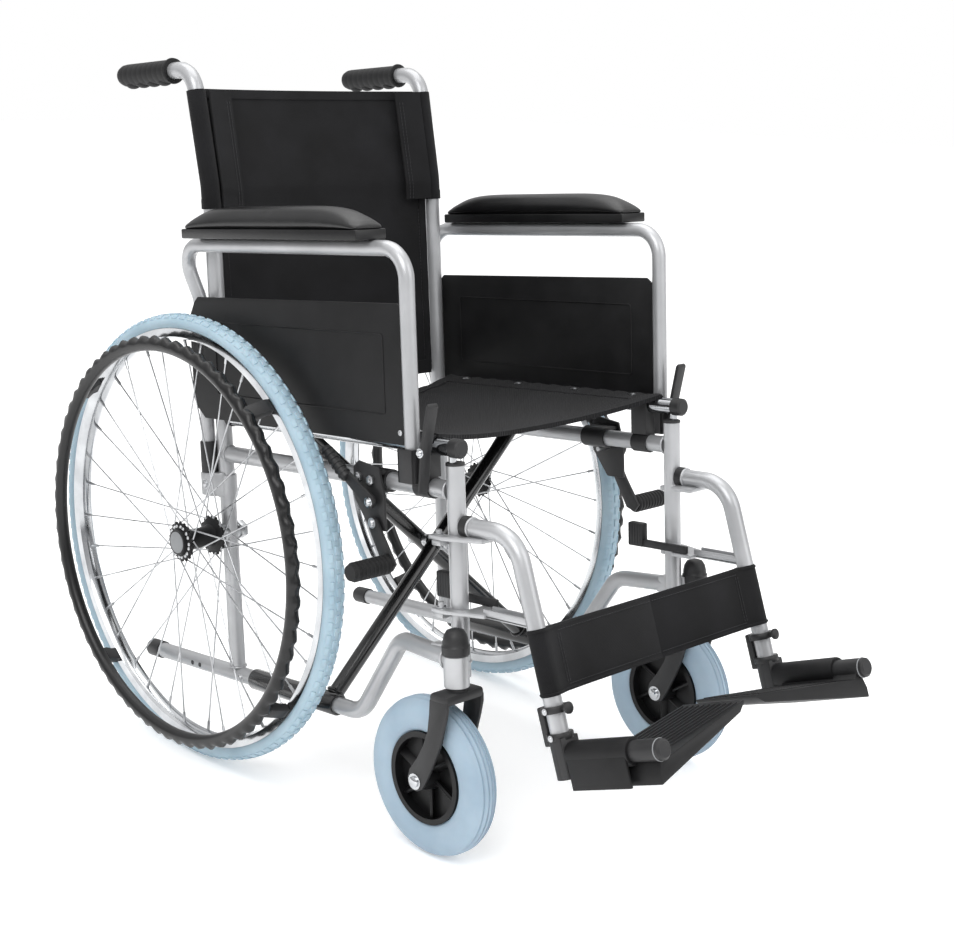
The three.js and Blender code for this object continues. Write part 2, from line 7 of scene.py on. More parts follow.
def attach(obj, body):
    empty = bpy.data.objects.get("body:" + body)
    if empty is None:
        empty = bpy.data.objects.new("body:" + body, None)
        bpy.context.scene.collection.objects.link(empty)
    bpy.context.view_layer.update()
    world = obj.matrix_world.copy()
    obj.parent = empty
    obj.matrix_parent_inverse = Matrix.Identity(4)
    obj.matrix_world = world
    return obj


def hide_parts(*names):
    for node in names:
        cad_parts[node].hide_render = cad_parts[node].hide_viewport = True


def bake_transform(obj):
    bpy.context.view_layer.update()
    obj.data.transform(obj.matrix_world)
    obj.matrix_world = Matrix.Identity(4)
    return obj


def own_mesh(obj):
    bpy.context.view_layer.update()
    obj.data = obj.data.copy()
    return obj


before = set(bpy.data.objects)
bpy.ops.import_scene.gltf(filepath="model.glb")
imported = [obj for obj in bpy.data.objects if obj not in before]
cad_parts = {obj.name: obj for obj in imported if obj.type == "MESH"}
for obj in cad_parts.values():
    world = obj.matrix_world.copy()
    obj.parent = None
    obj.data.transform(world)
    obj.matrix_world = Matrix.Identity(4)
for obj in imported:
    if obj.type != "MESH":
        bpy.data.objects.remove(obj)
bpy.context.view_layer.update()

# Folding wheelchair. Pieces are drawn in millimetres in the frame's own upright coordinates:
# x to the occupant's left, y rearwards from the rear post, z up from the rear axle. A side is
# drawn once, with +x outboard, and mirrored for the right.

bpy.ops.object.select_all(action="DESELECT")

RAKE = 0.083  # the frame leans back, radians
ORIGIN_SHIFT = 235.83
WHEEL_R = 305
CASTOR_R = 100
TUBE_R = 11.1
ARM_R = 9.5
SIDE_X = 200
FRONT_Y = -455
TOP_Z = 144
UPPER_Z = 109
LOWER_Z = -203
GRIP_Z = 622
SEAT_X = 204
SEAT_Z = 161
WHEEL_X = 259
HANDRIM_X = 302.7
HANDRIM_R = 267.5
STEM_X = 225
STEM_Y = -472
CASTOR_Y = -425
CASTOR_Z = (CASTOR_R - WHEEL_R + CASTOR_Y * math.sin(RAKE)) / math.cos(RAKE)
ARM_X = 228
ARM_Z = 393
ARM_FRONT_Y = -413
ARM_REAR_X = 214
ARM_REAR_Y = 18
PAD_X = 236
LEG_X = 197
PIVOT_X = 216
PIVOT_Y = -440
HANGER_SLOPE = 0.28
HANGER_TOP_Z = 68
HANGER_BEND_Y = -548
FOOT_Z = -179
BRAKE_X = 230
CROSS_Z = LOWER_Z + (SEAT_Z - LOWER_Z) * SIDE_X / (SIDE_X + SEAT_X)

FRAME = (
    Matrix.Scale(0.001, 4)
    @ Matrix.Translation((0, ORIGIN_SHIFT, WHEEL_R))
    @ Matrix.Rotation(-RAKE, 4, "X")
)
MIRROR = Matrix.Scale(-1, 4, (1, 0, 0))


def hanger_y(z):
    return HANGER_BEND_Y - HANGER_SLOPE * (HANGER_TOP_Z - z)


HANGER_TILT = math.atan(HANGER_SLOPE)
FOOT = Matrix.Translation((LEG_X, hanger_y(FOOT_Z), FOOT_Z)) @ Matrix.Rotation(-HANGER_TILT, 4, "X")
CALF = Matrix.Translation((LEG_X, hanger_y(-75), -75)) @ Matrix.Rotation(-HANGER_TILT, 4, "X")

# ---- materials -----------------------------------------------------------------------------


def colour(hex_value):
    """sRGB hex to linear RGBA."""
    parts = [int(hex_value[i : i + 2], 16) / 255 for i in (1, 3, 5)]
    return [c / 12.92 if c <= 0.04045 else ((c + 0.055) / 1.055) ** 2.4 for c in parts] + [1.0]


def node(material, kind, settings=None, **links):
    """Adds a node; settings are its attributes and socket values, links its inputs."""
    made = material.node_tree.nodes.new(kind)
    for key, value in (settings or {}).items():
        if hasattr(made, key) and not key[0].isupper():
            setattr(made, key, value)
        else:
            made.inputs[key].default_value = value
    for key, source in links.items():
        material.node_tree.links.new(source, made.inputs[key.replace("_", " ")])
    return made


def new_material(name, base, roughness, metallic=0.0, **extra):
    material = bpy.data.materials.new(name)
    material.use_nodes = True
    shader = material.node_tree.nodes["Principled BSDF"]
    shader.inputs["Base Color"].default_value = colour(base)
    shader.inputs["Roughness"].default_value = roughness
    shader.inputs["Metallic"].default_value = metallic
    for key, value in extra.items():
        shader.inputs[key.replace("_", " ")].default_value = value
    place = node(material, "ShaderNodeTexCoord").outputs["Object"]
    return material, shader, place


def link(material, output, socket):
    material.node_tree.links.new(output, socket)


def mottle(material, shader, place, low, high, size_mm, rough=None):
    """Colour that drifts between two tones over size_mm, and roughness with it."""
    noise = node(material, "ShaderNodeTexNoise", {"Scale": 1000 / size_mm, "Detail": 4.0}, Vector=place)
    ramp = node(material, "ShaderNodeValToRGB", Fac=noise.outputs["Fac"])
    ramp.color_ramp.elements[0].position = 0.3
    ramp.color_ramp.elements[0].color = colour(low)
    ramp.color_ramp.elements[1].position = 0.7
    ramp.color_ramp.elements[1].color = colour(high)
    link(material, ramp.outputs["Color"], shader.inputs["Base Color"])
    if rough:
        spread = node(
            material,
            "ShaderNodeMapRange",
            {"To Min": rough[0], "To Max": rough[1]},
            Value=noise.outputs["Fac"],
        )
        link(material, spread.outputs["Result"], shader.inputs["Roughness"])


def bump(material, shader, height, strength, depth_mm):
    made = node(
        material,
        "ShaderNodeBump",
        {"Strength": strength, "Distance": depth_mm / 1000},
        Height=height,
    )
    link(material, made.outputs["Normal"], shader.inputs["Normal"])


def enamelled_steel():
    """Silver stoving enamel on steel tube: an even pale grey with a soft broad highlight and
    a faint orange peel."""
    coat = {"Coat_Weight": 0.35, "Coat_Roughness": 0.2}
    m, shader, place = new_material("silver_enamel", "#BABBBC", 0.32, 0.5, **coat)
    mottle(m, shader, place, "#9FA0A2", "#B5B6B8", 90, (0.3, 0.4))
    peel = node(m, "ShaderNodeTexNoise", {"Scale": 700.0, "Detail": 2.0}, Vector=place)
    bump(m, shader, peel.outputs["Fac"], 0.12, 0.15)
    return m


def chrome_plate():
    """Chromium plate on steel: mirror bright, with a slight haze and small dull specks."""
    m, shader, place = new_material("chrome_plate", "#DADBDD", 0.09, 1.0)
    mottle(m, shader, place, "#A6A8AB", "#CDCFD1", 45, (0.06, 0.2))
    return m


def zinc_plate():
    """Zinc plated screws and spokes: bright grey, satin."""
    m, shader, place = new_material("zinc_plate", "#B9BBBD", 0.28, 1.0)
    mottle(m, shader, place, "#A4A6A8", "#CBCCCE", 12, (0.2, 0.4))
    return m


def gloss_enamel():
    """Black stoving enamel on the cross brace: deep black with a sharp highlight."""
    coat = {"Coat_Weight": 0.4, "Coat_Roughness": 0.08}
    m, shader, place = new_material("black_enamel", "#0C0C0D", 0.22, 0.0, **coat)
    mottle(m, shader, place, "#0A0A0B", "#121213", 60, (0.16, 0.28))
    peel = node(m, "ShaderNodeTexNoise", {"Scale": 500.0, "Detail": 2.0}, Vector=place)
    bump(m, shader, peel.outputs["Fac"], 0.1, 0.15)
    return m


def moulded(name, low, high, roughness, grain_mm, depth_mm, shine=0.35):
    """Injection moulded black plastic: satin, with a fine spark-eroded grain."""
    m, shader, place = new_material(name, low, roughness, Specular_IOR_Level=shine)
    mottle(m, shader, place, low, high, 35, (roughness - 0.06, roughness + 0.08))
    grain = node(m, "ShaderNodeTexNoise", {"Scale": 1000 / grain_mm, "Detail": 3.0}, Vector=place)
    bump(m, shader, grain.outputs["Fac"], 0.3, depth_mm)
    return m


def woven_nylon(name, along, pitch_mm=2.2):
    """Plain-woven nylon upholstery, near black: a grid of threads with a dull sheen. The threads
    are drawn several times too coarse, pitch_mm apart, so that they show."""
    sheen = {"Sheen_Weight": 0.06, "Sheen_Roughness": 0.5, "Specular_IOR_Level": 0.15}
    m, shader, place = new_material(name, "#151517", 0.88, **sheen)
    mottle(m, shader, place, "#121213", "#1C1C1E", 70, (0.78, 0.92))
    pitch = 2000 * math.pi / pitch_mm
    parts = node(m, "ShaderNodeSeparateXYZ", Vector=place)
    waves = []
    for axis in ("X", along):
        scaled = node(m, "ShaderNodeMath", {"operation": "MULTIPLY"})
        link(m, parts.outputs[axis], scaled.inputs[0])
        scaled.inputs[1].default_value = pitch
        wave = node(m, "ShaderNodeMath", {"operation": "SINE"})
        link(m, scaled.outputs[0], wave.inputs[0])
        waves.append(wave)
    both = node(m, "ShaderNodeMath", {"operation": "MULTIPLY"})
    link(m, waves[0].outputs[0], both.inputs[0])
    link(m, waves[1].outputs[0], both.inputs[1])
    bump(m, shader, both.outputs[0], 0.5, 0.16 * pitch_mm)
    return m


def grained_vinyl():
    """Expanded vinyl on the arm pads: charcoal, leathery grain about 1.6 mm across."""
    m, shader, place = new_material("grained_vinyl", "#0E0E0F", 0.32, Specular_IOR_Level=0.4)
    mottle(m, shader, place, "#0C0C0D", "#141415", 40, (0.24, 0.38))
    cells = node(
        m,
        "ShaderNodeTexVoronoi",
        {"feature": "DISTANCE_TO_EDGE", "Scale": 620.0, "Randomness": 0.9},
        Vector=place,
    )
    bump(m, shader, cells.outputs["Distance"], 0.5, 0.4)
    return m


def solid_polyurethane(name, low, high):
    """Foamed polyurethane tyre: pale, chalky and soft-edged, its tone drifting a little at random."""
    m, shader, place = new_material(name, low, 0.62, Subsurface_Weight=0.06, Subsurface_Scale=0.01)
    mottle(m, shader, place, low, high, 55, (0.55, 0.7))
    skin = node(m, "ShaderNodeTexNoise", {"Scale": 900.0, "Detail": 2.0}, Vector=place)
    bump(m, shader, skin.outputs["Fac"], 0.2, 0.2)
    return m


SILVER = enamelled_steel()
CHROME = chrome_plate()
ZINC = zinc_plate()
GLOSS = gloss_enamel()
BLACK = moulded("black_nylon", "#202021", "#2A2A2B", 0.44, 1.0, 0.12)
GREY = moulded("grey_plastic", "#77797B", "#86888A", 0.5, 1.0, 0.1)
DIPPED = moulded("dipped_vinyl", "#0D0D0E", "#151516", 0.3, 3.0, 0.05, 0.4)
# The hubs' nylon has a darker base colour than the other black nylon: painted shade for the recessed wheel
# and castor hubs.
HUB_SHADE_NYLON = moulded("hub_nylon_with_painted_shade", "#0E0E0F", "#161617", 0.4, 1.0, 0.12, 0.25)
GUARD = moulded("black_polypropylene", "#121213", "#1A1A1B", 0.5, 1.4, 0.2, 0.25)
RUBBER = moulded("black_rubber", "#131314", "#1D1D1E", 0.6, 1.2, 0.2, 0.3)
BACK_CLOTH = woven_nylon("woven_nylon_back", "Z")
SEAT_CLOTH = woven_nylon("woven_nylon_seat", "Y", 4.4)
THREAD = moulded("polyester_thread", "#29292B", "#343436", 0.7, 0.5, 0.1)
VINYL = grained_vinyl()
TYRE = solid_polyurethane("pale_blue_polyurethane", "#93ABB9", "#A5BBC7")
CASTOR_TYRE = solid_polyurethane("grey_blue_polyurethane", "#8CA0B0", "#9BAEBC")

# ---- shaping -------------------------------------------------------------------------------


def active():
    return bpy.context.object


def select(*objects):
    bpy.ops.object.select_all(action="DESELECT")
    for o in objects:
        o.select_set(True)
    bpy.context.view_layer.objects.active = objects[0]


def clean(o, merge=0.01):
    """Merges doubles and turns every face outwards."""
    select(o)
    bpy.ops.object.mode_set(mode="EDIT")
    bpy.ops.mesh.select_all(action="SELECT")
    bpy.ops.mesh.remove_doubles(threshold=merge)
    bpy.ops.mesh.dissolve_degenerate(threshold=merge)
    bpy.ops.mesh.normals_make_consistent(inside=False)
    bpy.ops.object.mode_set(mode="OBJECT")
    return o


def modify(o, kind, **settings):
    """Adds a modifier and applies it."""
    select(o)
    modifier = o.modifiers.new(kind, kind)
    for key, value in settings.items():
        setattr(modifier, key, value)
    bpy.ops.object.modifier_apply(modifier=modifier.name)
    return o


def soften(o, width, segments=2):
    return modify(o, "BEVEL", width=width, segments=segments, limit_method="ANGLE", angle_limit=0.6)


def fuse(*objects):
    """Joins pieces of one finish into one mesh."""
    select(*objects)
    bpy.ops.object.join()
    return active()


def block(x0, x1, y0, y1, z0, z1, bevel=1.2):
    """A block with rounded edges."""
    bpy.ops.mesh.primitive_cube_add(size=1, location=((x0 + x1) / 2, (y0 + y1) / 2, (z0 + z1) / 2))
    o = active()
    o.scale = (x1 - x0, y1 - y0, z1 - z0)
    bpy.ops.object.transform_apply(location=True, rotation=True, scale=True)
    return soften(o, bevel)


def loop(points):
    """A ring of edges through the points, made from a circle."""
    bpy.ops.mesh.primitive_circle_add(vertices=len(points), fill_type="NOTHING")
    o = active()
    for vertex, point in zip(o.data.vertices, points):
        vertex.co = point
    return o


def plate(outline, plane, start, end, bevel=0.8):
    """A flat plate cut to an outline [a, b] and extruded from start to end."""
    to = {
        "yz": lambda a, b, t: (t, a, b),
        "xy": lambda a, b, t: (a, b, t),
        "xz": lambda a, b, t: (a, t, b),
    }[plane]
    o = loop([to(a, b, start) for a, b in outline])
    bpy.ops.object.mode_set(mode="EDIT")
    bpy.ops.mesh.select_all(action="SELECT")
    bpy.ops.mesh.edge_face_add()
    bpy.ops.mesh.extrude_region_move(TRANSFORM_OT_translate={"value": to(0, 0, end - start)})
    bpy.ops.object.mode_set(mode="OBJECT")
    return soften(clean(o), bevel)


def turned(profile, axis="x", at=(0, 0, 0), sides=32, spin=360):
    """A turned piece: a closed profile [radius, along] spun round an axis through at."""
    place = {"x": lambda r, t: (t, 0, r), "y": lambda r, t: (r, t, 0), "z": lambda r, t: (r, 0, t)}[axis]
    direction = {"x": (1, 0, 0), "y": (0, 1, 0), "z": (0, 0, 1)}[axis]
    o = loop([place(r, t) for r, t in profile])
    bpy.ops.object.mode_set(mode="EDIT")
    bpy.ops.mesh.select_all(action="SELECT")
    bpy.ops.mesh.spin(steps=sides, angle=math.radians(spin), center=(0, 0, 0), axis=direction)
    bpy.ops.object.mode_set(mode="OBJECT")
    clean(o)
    o.data.transform(Matrix.Translation(at))
    return o


def disc(radius, half, round_over=0.8):
    """Profile of a disc, rounded at both rims."""
    e = round_over
    rim = [(radius - e, -half), (radius, -half + e), (radius, half - e), (radius - e, half)]
    return [(0, -half), *rim, (0, half)]


def bar(a, b, r, sides=16, bevel=0.0):
    """A straight round bar from a to b."""
    a, b = Vector(a), Vector(b)
    length = (b - a).length
    bpy.ops.mesh.primitive_cylinder_add(vertices=sides, radius=r, depth=length, location=(a + b) / 2)
    o = active()
    o.rotation_euler = (b - a).to_track_quat("Z", "Y").to_euler()
    bpy.ops.object.transform_apply(location=True, rotation=True, scale=True)
    return soften(o, bevel) if bevel else o


def bent_tube(corners, radii, r=TUBE_R, sides=24, per_bend=10):
    """A tube with straight runs and round bends, closed at its ends."""
    corners = [Vector(c) for c in corners]
    places = [corners[0]]
    for i in range(1, len(corners) - 1):
        before = (corners[i] - corners[i - 1]).normalized()
        after = (corners[i + 1] - corners[i]).normalized()
        turn = before.angle(after)
        radius = radii[i - 1]
        start = corners[i] - before * radius * math.tan(turn / 2)
        centre = corners[i] + (after - before).normalized() * radius / math.cos(turn / 2)
        axis = before.cross(after).normalized()
        for k in range(per_bend + 1):
            turned_by = Matrix.Rotation(turn * k / per_bend, 4, axis)
            places.append(centre + turned_by @ (start - centre))
    places.append(corners[-1])
    curve = bpy.data.curves.new("tube", "CURVE")
    curve.dimensions = "3D"
    curve.bevel_depth = r
    curve.bevel_resolution = sides // 4 - 1
    curve.use_fill_caps = True
    spline = curve.splines.new("POLY")
    spline.points.add(len(places) - 1)
    for point, co in zip(spline.points, places):
        point.co = (*co, 1)
    o = bpy.data.objects.new("tube", curve)
    bpy.context.collection.objects.link(o)
    select(o)
    bpy.ops.object.convert(target="MESH")
    return clean(active())


def ring(radius, thick, at, axis="y", sides=32):
    """A rounded ring, such as a weld bead or a collar."""
    turn = {"x": (0, math.pi / 2, 0), "y": (math.pi / 2, 0, 0), "z": (0, 0, 0)}[axis]
    bpy.ops.mesh.primitive_torus_add(
        major_radius=radius,
        minor_radius=thick,
        major_segments=sides,
        minor_segments=10,
        location=at,
        rotation=turn,
    )
    bpy.ops.object.transform_apply(location=True, rotation=True, scale=True)
    return active()


def knob(at, size):
    """A rounded bump."""
    bpy.ops.mesh.primitive_uv_sphere_add(segments=14, ring_count=8, radius=1, location=at)
    active().scale = size
    bpy.ops.object.transform_apply(location=True, rotation=True, scale=True)
    return active()


def dome_bolt(at, r, height, axis="x", facing=1):
    """A pan head on a washer, seen from outside."""
    w = r * 1.45
    profile = [(0, 0), (w, 0), (w, 0.9), (r, 1.0), (r, height * 0.55), (r * 0.7, height * 0.9), (0, height)]
    return turned([(a, facing * b) for a, b in profile], axis, at, 20)


def hex_nut(at, r, height, axis="x", facing=1):
    """A hexagon nut with its chamfer and the end of its screw."""
    along = Vector({"x": (1, 0, 0), "y": (0, 1, 0), "z": (0, 0, 1)}[axis]) * facing
    at = Vector(at)
    nut = bar(at, at + along * height, r, 6, 0.5)
    return fuse(nut, bar(at, at + along * (height + 1.6), r * 0.5, 12, 0.4))


# ---- putting pieces in place ---------------------------------------------------------------


def settle(o, name, body, finish, where, stands_for=()):
    """Bakes a piece's place into its mesh, and rides it on its body."""
    o.name = f"{name}_form" if stands_for else name
    o.data.name = o.name
    o.data.transform(FRAME @ where)
    if where.determinant() < 0:
        o.data.flip_normals()
    o.data.materials.clear()
    o.data.materials.append(finish)
    select(o)
    bpy.ops.object.shade_smooth_by_angle(angle=math.radians(38))
    for cad_node in stands_for:
        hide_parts(cad_node)
    if body:
        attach(o, body)
    return o


def pair(o, name, body, finish, stands_for=(), where=Matrix.Identity(4)):
    """One piece for each side: the right one is the mirror image."""
    other = o.copy()
    other.data = o.data.copy()
    bpy.context.collection.objects.link(other)
    made = []
    for side, piece, flip in (("left", o, Matrix.Identity(4)), ("right", other, MIRROR)):
        nodes = [f"{side}_{n}" for n in stands_for]
        made.append(settle(piece, f"{side}_{name}", f"{side}_{body}", finish, flip @ where, nodes))
    return made


def shared(o, name, body, finish, stands_for=()):
    return settle(o, name, body, finish, Matrix.Identity(4), stands_for)


# ---- camera, light and floor ---------------------------------------------------------------

camera = bpy.data.objects.new("camera", bpy.data.cameras.new("camera"))
camera.data.lens = 63.46
camera.data.sensor_width = 36
camera.matrix_world = (
    Matrix.Translation((-1.5334, -1.8185 + ORIGIN_SHIFT / 1000, 0.938))
    @ Matrix.Rotation(math.radians(-44.855), 4, "Z")
    @ Matrix.Rotation(math.radians(90 - 13.590), 4, "X")
    @ Matrix.Rotation(math.radians(1.640), 4, "Z")
)
bpy.context.collection.objects.link(camera)
bpy.context.scene.camera = camera
bpy.context.scene.view_settings.view_transform = "Standard"


def softbox(name, place, size, power):
    light = bpy.data.objects.new(name, bpy.data.lights.new(name, "AREA"))
    light.data.size = size
    light.data.energy = power
    light.location = place
    light.rotation_euler = (Vector((0, 0, 0.4)) - Vector(place)).to_track_quat("-Z", "Y").to_euler()
    bpy.context.collection.objects.link(light)


softbox("key", (-2.6, -1.4, 3.0), 2.4, 60)
softbox("fill", (1.2, -3.2, 2.2), 2.6, 30)
softbox("top", (0.3, 0.6, 3.6), 3.0, 55)



def light_tent():
    """Plain white behind the object. What lights it is a tent, bright overhead and grey round the
    sides, so that tubes and plastics get darker edges."""
    world = bpy.data.worlds.new("studio")
    world.use_nodes = True
    direction = node(world, "ShaderNodeTexCoord").outputs["Generated"]
    height = node(world, "ShaderNodeSeparateXYZ", Vector=direction).outputs["Z"]
    tent = node(world, "ShaderNodeValToRGB", Fac=height)
    tent.color_ramp.elements[0].color = (0.36, 0.36, 0.37, 1)
    tent.color_ramp.elements[1].position = 0.7
    tent.color_ramp.elements[1].color = (1.15, 1.15, 1.15, 1)
    sides = world.node_tree.nodes["Background"]
    link(world, tent.outputs["Color"], sides.inputs["Color"])
    white = node(world, "ShaderNodeBackground", {"Color": (1, 1, 1, 1), "Strength": 1.0})
    seen = node(world, "ShaderNodeLightPath").outputs["Is Camera Ray"]
    mix = node(world, "ShaderNodeMixShader", Fac=seen)
    link(world, sides.outputs[0], mix.inputs[1])
    link(world, white.outputs[0], mix.inputs[2])
    link(world, mix.outputs[0], world.node_tree.nodes["World Output"].inputs["Surface"])
    return world


bpy.context.scene.world = light_tent()

bpy.ops.mesh.primitive_plane_add(size=40, location=(0, 0, -0.001))
floor = active()
floor.name = "floor"
glow = {"Emission_Color": (1, 1, 1, 1), "Emission_Strength": 0.22}
floor.data.materials.append(new_material("studio_floor", "#FBFBFB", 0.8, **glow)[0])

# ---- side frame ----------------------------------------------------------------------------
lean = 0.1405
pair(
    fuse(
        bent_tube(
            [
                (SIDE_X, 0, LOWER_Z + TUBE_R),
                (SIDE_X, 0, 470),
                (SIDE_X + 2, lean * (GRIP_Z - 470), GRIP_Z),
                (SIDE_X + 2, 178, GRIP_Z),
            ],
            [150, 34],
        ),
        bar((SIDE_X, -2, UPPER_Z), (SIDE_X, FRONT_Y + TUBE_R, UPPER_Z), TUBE_R, 24),
        ring(TUBE_R + 0.4, 1.7, (SIDE_X, -10.2, UPPER_Z)),
        ring(TUBE_R + 0.4, 1.7, (SIDE_X, 0, LOWER_Z + 11.4), "z"),
    ),
    "back_frame",
    "frame",
    SILVER,
    ["back_frame"],
)

grip_profile = [(11.3, 64.5), (16.8, 64.5), (17.2, 67), (15.2, 69.5)]
for ridge in range(9):
    y = 71 + ridge * 12
    grip_profile += [(15.2, y), (14.95, y + 1), (14.95, y + 3), (15.2, y + 4)]
grip_profile += [(14.6, 178), (12.5, 184), (7, 187), (0, 187), (0, 180), (11.3, 180)]
grip = turned(grip_profile, "y", (SIDE_X + 2, 0, GRIP_Z), 40)
fingers = [knob((SIDE_X + 2, 88 + 25 * i, GRIP_Z - 12.5), (9, 12, 6.2)) for i in range(4)]
pair(fuse(grip, *fingers), "push_grip", "frame", RUBBER, ["push_grip"])

lower_rail = bent_tube(
    [
        (SIDE_X, 190, LOWER_Z),
        (SIDE_X, -266, LOWER_Z),
        (SIDE_X + 3, -352, -89),
        (STEM_X - 2, STEM_Y + 8, -88),
    ],
    [45, 32],
)
front_post = bar((SIDE_X, FRONT_Y, -117), (SIDE_X, FRONT_Y, TOP_Z - 3), TUBE_R, 24)
housing = turned(
    [(0, -120), (14.6, -120), (15.4, -119.2), (15.4, -82), (14.6, -81), (0, -81)], "z", (STEM_X, STEM_Y, 0)
)
gusset = plate([(-470, -99), (-420, -99), (-424, -76), (-468, -72)], "yz", SIDE_X + 6, STEM_X - 4, 1.5)
hinge_parts = []
for z in (45, -43):
    hinge_parts.append(block(SIDE_X, PIVOT_X + 6, PIVOT_Y - 8, PIVOT_Y + 7, z, z + 7, 1.4))
    hinge_parts.append(bar((PIVOT_X, PIVOT_Y, z + 4), (PIVOT_X, PIVOT_Y, z + 19), 3.8, 16, 0.8))
welds = [
    ring(TUBE_R + 0.3, 1.8, (SIDE_X, FRONT_Y, -98), "z"),
    ring(TUBE_R + 0.2, 1.6, (SIDE_X, FRONT_Y + 10.6, UPPER_Z)),
    ring(13, 1.7, (STEM_X - 2, STEM_Y + 16, -88)),
]
pair(
    fuse(lower_rail, front_post, housing, gusset, *hinge_parts, *welds),
    "lower_frame",
    "frame",
    SILVER,
    ["lower_frame"],
)
cap_profile = [(0, -80.6), (16.6, -80.6), (17, -79), (17, -70), (15.8, -68.6), (15.6, -64)]
cap_profile += [(14, -57), (10.5, -51.5), (5, -49.4), (0, -49)]
pair(turned(cap_profile, "z", (STEM_X, STEM_Y, 0)), "stem_cap", "frame", BLACK)
rail_end = turned([(0, 183), (12.6, 183), (12.6, 209), (11.2, 211.6), (0, 212)], "y", (SIDE_X, 0, LOWER_Z))
pair(rail_end, "rail_end_cap", "frame", BLACK)
plug_profile = [(0, TOP_Z - 4), (11.6, TOP_Z - 4), (11.6, TOP_Z - 1), (9, TOP_Z), (0, TOP_Z)]
plug = turned(plug_profile, "z", (SIDE_X, FRONT_Y, 0))
pair(plug, "post_plug", "frame", BLACK)
# Black discs on the rail stand in for its holes: painted shade for the dark inside of the tube.
hole_shade_discs = [turned(disc(3.2, 0.5, 0.2), "x", (SIDE_X + TUBE_R - 0.1, y, LOWER_Z), 16) for y in (77, 95)]
pair(fuse(*hole_shade_discs), "rail_hole_shade_discs", "frame", BLACK)
pair(dome_bolt((SIDE_X + TUBE_R - 1, -19, LOWER_Z), 4, 4), "rail_rivet", "frame", ZINC)

# ---- rear wheels ---------------------------------------------------------------------------
nut = hex_nut((SIDE_X - TUBE_R - 1, 0, 0), 13, 10, "x", -1)
spindle = turned([(0, 186), (10, 186), (10, 218), (6, 218), (6, 283), (0, 283)], "x", sides=24)
sleeve = turned([(11, 211.5), (13, 211.5), (13, 216), (11, 216)], "x", sides=24)
pair(fuse(nut, spindle, sleeve), "axle", "frame", ZINC, ["axle"])

tyre_profile = [(286.2, 248.4), (288.5, 246), (292, 244.6), (296, 245.2), (299.5, 247.6), (302, 251)]
tyre_profile += [(303.1, 255), (303.3, WHEEL_X)]
tyre_profile += [(r, 2 * WHEEL_X - x) for r, x in reversed(tyre_profile[:-1])]
tyre = turned(tyre_profile, "x", sides=144)
LUGS = 108
lugs = []
for row, (radius, tilt, shift) in enumerate([(303.1, 0, 0), (300.6, 0.7, 8.8), (300.6, -0.7, -8.8)]):
    lugs.append((Matrix.Rotation(tilt, 4, "Y"), radius, shift, row))
pattern = []
for turn in range(LUGS):
    for tilt, radius, shift, row in lugs:
        angle = 2 * math.pi * (turn + 0.5 * (row == 0)) / LUGS
        spot = Matrix.Rotation(angle, 4, "X") @ Matrix.Translation((WHEEL_X + shift, 0, radius))
        pattern.append(spot @ tilt)
lug = block(-3.2, 3.2, -5.4, 5.4, -2, 1.8, 0.6)
lug_meshes = []
for spot in pattern:
    copy = lug.copy()
    copy.data = lug.data.copy()
    copy.data.transform(spot)
    bpy.context.collection.objects.link(copy)
    lug_meshes.append(copy)
bpy.data.objects.remove(lug)
pair(fuse(tyre, *lug_meshes), "tyre", "wheel", TYRE, ["tyre"])

rim_profile = [(271, 255), (271, 263), (272.6, 266.4), (275, 270), (280, 270.5), (286, 270.5), (286, 268.3)]
rim_profile += [(278, 267.4), (275, 264), (275, 254), (278, 250.6), (286, 249.7), (286, 247.5), (280, 247.5)]
rim_profile += [(275, 248), (272.6, 251.6)]
pair(turned(rim_profile, "x", sides=144), "rim", "wheel", CHROME, ["rim"])

hub_profile = [(6.5, 220.5), (11, 220.5), (11.6, 222), (11.6, 226.5), (24, 226.5), (25, 227.5), (25, 230)]
hub_profile += [(24, 231), (16, 234), (13.8, 240), (13.8, 268), (16, 275), (24, 277.5), (25, 278.5)]
hub_profile += [(25, 282), (24, 283), (18, 284), (17, 288), (6.5, 288)]
hub = turned(hub_profile, "x", sides=36)
notches = []
for x in (228.7, 280.3):
    for i in range(18):
        a = 2 * math.pi * i / 18
        spot = (x, 25.4 * math.sin(a), 25.4 * math.cos(a))
        notches.append(knob(spot, (2.0, 2.5, 2.5)))
# The wheel hub's darker nylon is painted shade.
pair(fuse(hub, *notches), "wheel_hub", "wheel", HUB_SHADE_NYLON, ["wheel_hub"])
pair(turned([(0, 286), (14.6, 286), (14.6, 288.6), (13, 289.4), (0, 289.4)], "x"), "hub_cap", "wheel", GREY)
SPOKES = 36
wires = []
for i in range(SPOKES):
    outer = i % 2 == 0
    lead = 1 if i % 4 < 2 else -1
    rim_angle = 2 * math.pi * i / SPOKES
    hub_angle = rim_angle + lead * math.radians(78)
    flange = 280.3 if outer else 228.7
    head = Vector((flange, 21 * math.cos(hub_angle), 21 * math.sin(hub_angle)))
    side = 3 if outer else -3
    foot = Vector((WHEEL_X + side, 272 * math.cos(rim_angle), 272 * math.sin(rim_angle)))
    wires.append(bar(head, foot, 1.05, 8))
    wires.append(bar(foot + (head - foot).normalized() * 14, foot, 2.0, 8))
    wires.append(knob(head + Vector((3 if outer else -3, 0, 0)), (1.8, 2.6, 2.6)))
pair(fuse(*wires), "spokes", "wheel", ZINC)

